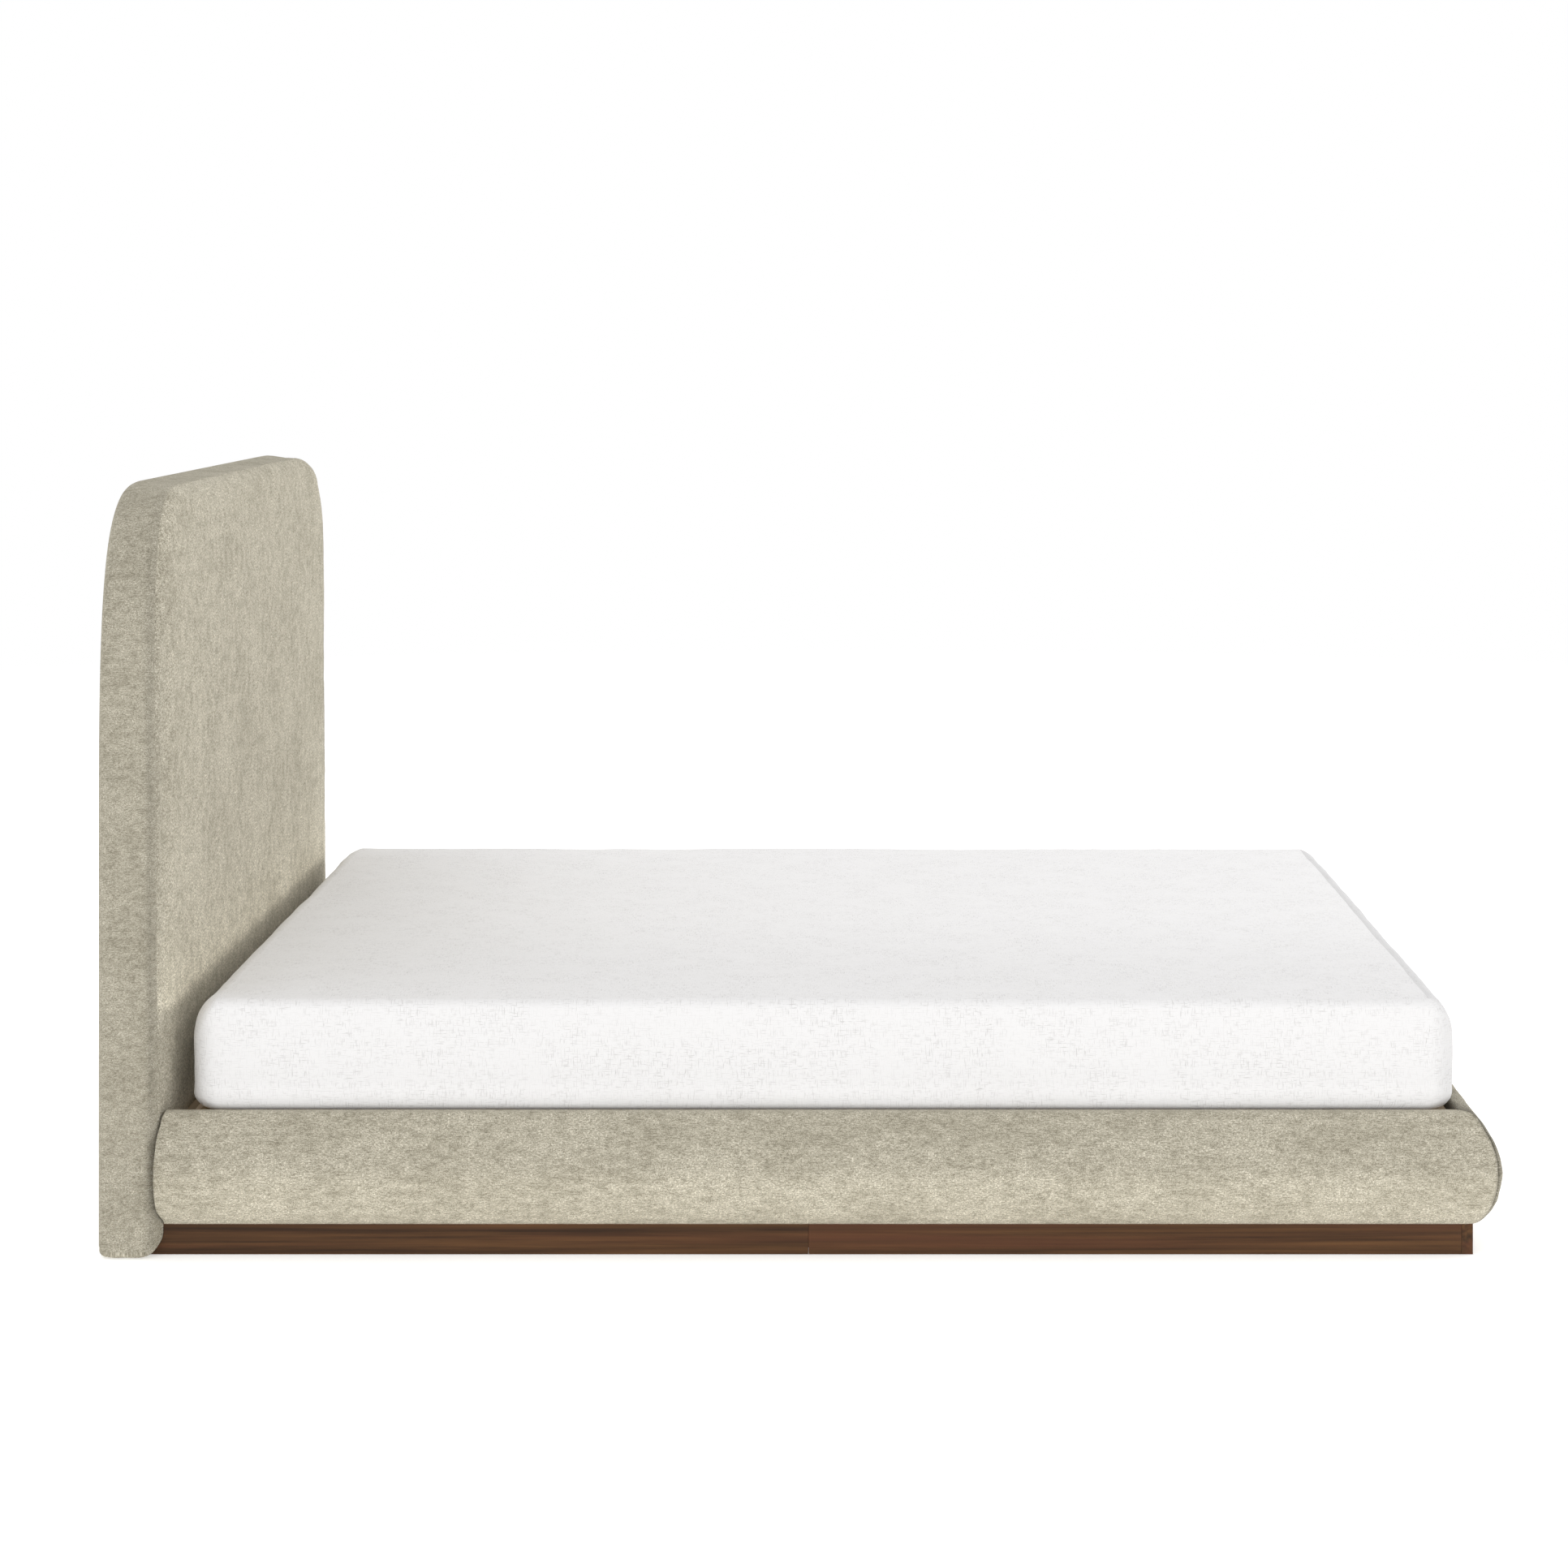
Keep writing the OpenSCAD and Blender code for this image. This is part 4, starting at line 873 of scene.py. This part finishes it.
def wood(name, axis, dark, mid, light, ring, rough, level=0.4, seed=0.0, tints=()):
    """Timber whose grain runs along axis 0, 1 or 2 of the bed's frame, with ring growth rings for
    each metre. tints lie on it in patches."""
    n = Nodes(name)
    place = n.add("ShaderNodeTexCoord").outputs["Object"]
    scale = [ring] * 3
    scale[axis] = GRAIN_ALONG
    grain = n.noise(n.place(place, scale, (seed, seed * 1.7, seed * 0.6)),
                    detail=5, roughness=0.62, distortion=0.25)
    fine_scale = [ring * PORES_IN_RING] * 3
    fine_scale[axis] = PORES_ALONG
    pores = n.noise(n.place(place, fine_scale, (seed, 0, seed)), detail=2, roughness=0.6)
    base = n.mix(n.spread(grain, 0.34, 0.52), dark, mid)
    base = n.mix(n.spread(grain, 0.52, 0.72), base, light)
    for k, tint in enumerate(tints):
        wide = [v * TINT_SCALE for v in scale]
        stain = n.noise(n.place(place, wide, (seed + 3.0 + 5 * k, k, seed)), detail=3)
        base = n.mix(n.spread(stain, 0.50, 0.66, 0.0, 0.6), base, tint)
    base = n.mix(n.spread(pores, 0.60, 0.78, 0.0, 0.55), base, dark)
    height = n.math("SUBTRACT", n.math("MULTIPLY", grain, 0.3), n.spread(pores, 0.60, 0.78))
    n.set(Base_Color=base, Roughness=n.spread(grain, 0.3, 0.7, rough - 0.06, rough + 0.08),
          Specular_IOR_Level=level, Normal=n.bump(height, 0.0004, 0.35))
    return n.material


def walnut(name, axis, seed):
    return wood(name, axis, colour(56, 38, 25), colour(84, 58, 37), colour(108, 76, 48),
                ring=90, rough=0.55, level=0.15, seed=seed, tints=(colour(70, 54, 36), colour(98, 60, 42)))


def pine(name, axis):
    return wood(name, axis, colour(140, 118, 90), colour(168, 146, 116), colour(190, 170, 140),
                ring=22, rough=0.6)


def birch(name, axis):
    return wood(name, axis, colour(168, 144, 112), colour(192, 168, 134), colour(210, 190, 158),
                ring=15, rough=0.5)


def zinc(name):
    """Bright zinc plate with faint crystals and scuffs."""
    n = Nodes(name)
    place = n.add("ShaderNodeTexCoord").outputs["Object"]
    flakes = n.add("ShaderNodeTexVoronoi", {"Vector": place, "Scale": 260.0}).outputs["Color"]
    grey = n.add("ShaderNodeRGBToBW", {"Color": flakes}).outputs[0]
    scuff = n.noise(place, 55, 4, 0.65)
    n.set(Base_Color=n.mix(n.spread(scuff, 0.4, 0.7), colour(196, 198, 202), colour(168, 170, 172)),
          Metallic=1.0, Roughness=n.spread(grey, 0.0, 1.0, 0.28, 0.46), Normal=n.bump(scuff, 0.0002, 0.3))
    return n.material


def nylon(name):
    """Black moulded nylon, gritty and a little dusty."""
    n = Nodes(name)
    place = n.add("ShaderNodeTexCoord").outputs["Object"]
    grit = n.noise(place, 1800, 2)
    dust = n.noise(place, 60, 4, 0.6)
    n.set(Base_Color=n.mix(n.spread(dust, 0.45, 0.75), colour(30, 30, 32), colour(62, 61, 60)),
          Roughness=n.spread(dust, 0.3, 0.7, 0.42, 0.62), Normal=n.bump(grit, 0.0002, 0.4))
    return n.material


def webbing(name):
    """Black polypropylene strap, woven in short ribs across its width."""
    n = Nodes(name)
    place = n.add("ShaderNodeTexCoord").outputs["Object"]
    ribs = n.add("ShaderNodeTexWave", {"Vector": place, "Scale": 90.0, "Distortion": 0.6, "Detail": 2.0},
                 bands_direction="X").outputs["Fac"]
    n.set(Base_Color=n.mix(ribs, colour(24, 24, 26), colour(58, 58, 60)), Roughness=0.85,
          Normal=n.bump(ribs, 0.0006, 0.6))
    return n.material


def foam(name):
    """Cream foam with open cells."""
    n = Nodes(name)
    place = n.add("ShaderNodeTexCoord").outputs["Object"]
    cells = n.noise(place, 700, 3, 0.7)
    n.set(Base_Color=n.mix(cells, colour(226, 208, 160), colour(244, 232, 196)), Roughness=0.95,
          Normal=n.bump(cells, 0.001, 0.5))
    return n.material


# ---------------------------------------------------------------- building

# How far from the headboard's rear and foot, and from the mattress's base, the cloth is held
HEAD_HELD, MAT_HELD = 0.03, 0.02

# Where the padding's unevenness starts, and the length over which it becomes full
HEAD_UNEVEN_START, HEAD_UNEVEN_FADE, MAT_UNEVEN_FADE = 0.004, 0.03, 0.02

# Each board's grain is the same timber, read this much further on
BOARD_SEED, BLOCK_SEED = 1.37, 9.1


def keep_material(node, material):
    """Gives a CAD node's own mesh a new material."""
    data = frame["nodes"][node].data
    data.materials.clear()
    data.materials.append(material)


def longest_axis(node):
    """0, 1 or 2, for the axis along which the node's box is longest."""
    lo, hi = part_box(node)
    size = hi - lo
    return max(range(3), key=lambda k: size[k])


def finish_cad_nodes():
    """Gives every CAD node that shows the material of its slot, with the grain along its length or
    along the axis that grain names."""
    slots = {s["node"]: s["material_slot"] for s in frame["record"]["subparts"]}
    made = {"zinc_steel": zinc("zinc_plate"), "nylon": nylon("black_nylon"),
            "webbing": webbing("strap_weave"), "foam": foam("foam_cells")}
    timber = {("softwood", k): pine(f"pine_{'xyz'[k]}", k) for k in range(3)}
    timber |= {("plywood", k): birch(f"birch_{'xyz'[k]}", k) for k in range(3)}
    boards = ["plinth_left_head", "plinth_left_foot", "plinth_right_head", "plinth_right_foot",
              "plinth_foot"]
    grain = {"slats": 1, "headboard_posts": 2, "headboard_crossrails": 1, "plinth_crossbars": 1,
             "headboard_front_panel": 2, "headboard_back_panel": 2, "support_legs": 2, "rail_blocks": 1}
    for node, slot in slots.items():
        if slot in made:
            keep_material(node, made[slot])
        elif node == "plinth_splice_blocks":
            keep_material(node, walnut("stained_block", 2, BLOCK_SEED))
        elif slot in ("softwood", "plywood"):
            keep_material(node, timber[slot, grain.get(node, longest_axis(node))])
        elif slot == "walnut":
            keep_material(node, walnut(node + "_grain", longest_axis(node), BOARD_SEED * boards.index(node)))


def dress(piece, material, body, nodes):
    """Gives a padded piece its material, sets it under its body's empty, and hides the CAD nodes that it
    stands for.
    """
    piece.data.materials.append(material)
    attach(piece, body)
    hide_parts(*nodes)


def make_padding():
    """All the cloth: the headboard, the rails and the mattress, and the dust cloth behind."""
    cloth = heathered_chenille("oatmeal_chenille")
    head = make_headboard()
    left = make_side_rail("rail_padding_left", -1)
    right = make_side_rail("rail_padding_right", 1)
    foot = make_foot_rail("rail_padding_foot")
    mattress = make_mattress()
    follow_cloth(head, 0.020, 0.004, lambda p: (p[:, 0] < HEAD_LO.x + HEAD_HELD) | (p[:, 2] < HEAD_HELD))
    follow_cloth(mattress, 0.022, 0.003, lambda p: p[:, 2] < MAT_LO.z + MAT_HELD)
    make_uneven(head, HEAD_UNEVEN, 11,
                lambda p: smooth((p[:, 0] - HEAD_LO.x - HEAD_UNEVEN_START) / HEAD_UNEVEN_FADE))
    for k, rail in enumerate((left, right, foot)):
        make_uneven(rail, RAIL_UNEVEN, 21 + 10 * k, over_bulge)
    make_uneven(mattress, MAT_UNEVEN, 61, lambda p: smooth((p[:, 2] - RAIL_TOP) / MAT_UNEVEN_FADE))
    dress(head, cloth, "bed", ["headboard_cover", "headboard_foam"])
    for rail, node in ((left, "side_{}_left"), (right, "side_{}_right"), (foot, "foot_{}")):
        dress(rail, cloth, "bed", [node.format("cover"), node.format("foam")])
    dress(mattress, mattress_linen("white_linen"), "mattress",
          ["mattress_cover", "mattress_base_foam", "mattress_top_foam"])
    back = make_dust_cloth()
    back.data.materials.append(cloth)
    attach(back, "bed")
    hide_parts("headboard_back_cloth")
    outline_area(half_outline(np.full(HALF_COUNT, HEAD_HI.y - BACK_HI.y)))


# ---------------------------------------------------------------- studio

FLOOR_EDGE, FLOOR_FADE, FLOOR_DROP, FLOOR_GLOW = 9.0, 0.45, 0.0005, 0.42
WHITE = (1.0, 1.0, 1.0, 1.0)


def make_camera():
    """Level camera at the near long side, with its horizon above the bed."""
    data = bpy.data.cameras.new("camera")
    data.sensor_width = 36
    data.lens = 72.73
    data.shift_x, data.shift_y = -0.0455, -0.2857
    data.clip_end = 100
    camera = bpy.data.objects.new("camera", data)
    camera.location = (0.0895, -5.866, 1.472)
    camera.rotation_euler = (math.pi / 2, 0, 0)
    bpy.context.scene.collection.objects.link(camera)
    bpy.context.scene.camera = camera


def area_light(name, place, aim, size, power):
    """A rectangular light of size (width, height) at place, turned to aim."""
    data = bpy.data.lights.new(name, "AREA")
    data.shape = "RECTANGLE"
    data.size, data.size_y = size
    data.energy = power
    light = bpy.data.objects.new(name, data)
    light.location = place
    light.rotation_euler = (Vector(aim) - Vector(place)).to_track_quat("-Z", "Y").to_euler()
    bpy.context.scene.collection.objects.link(light)


def make_studio():
    """A softly lit pale floor that fades into an even white surround."""
    bpy.ops.mesh.primitive_circle_add(vertices=96, radius=FLOOR_EDGE, fill_type="NGON",
                                      location=(0, 0, -FLOOR_DROP))
    floor = bpy.context.object
    floor.name = "studio_floor"
    n = Nodes("pale_floor")
    place = n.add("ShaderNodeTexCoord").outputs["Object"]
    distance = n.add("ShaderNodeVectorMath", {0: place}, operation="LENGTH").outputs["Value"]
    n.set(Base_Color=n.mix(n.noise(place, 0.7, 3), colour(240, 240, 239), colour(245, 245, 244)),
          Roughness=0.95, Specular_IOR_Level=0.0, Emission_Color=WHITE, Emission_Strength=FLOOR_GLOW,
          Alpha=n.spread(distance, FLOOR_EDGE * FLOOR_FADE, FLOOR_EDGE, 1.0, 0.0))
    floor.data.materials.append(n.material)
    world = bpy.data.worlds.new("studio")
    world.use_nodes = True
    world.node_tree.nodes["Background"].inputs[0].default_value = WHITE
    world.node_tree.nodes["Background"].inputs[1].default_value = 1.0
    bpy.context.scene.world = world
    area_light("front", (1.4, -6.5, 1.2), (0, 0, 0.4), (6.0, 2.4), 26)
    area_light("foot_side", (5.5, 1.6, 1.3), (-0.9, 0, 0.5), (3.5, 2.4), 50)
    bpy.context.scene.view_settings.view_transform = "Standard"


make_camera()
make_studio()
finish_cad_nodes()
make_padding()
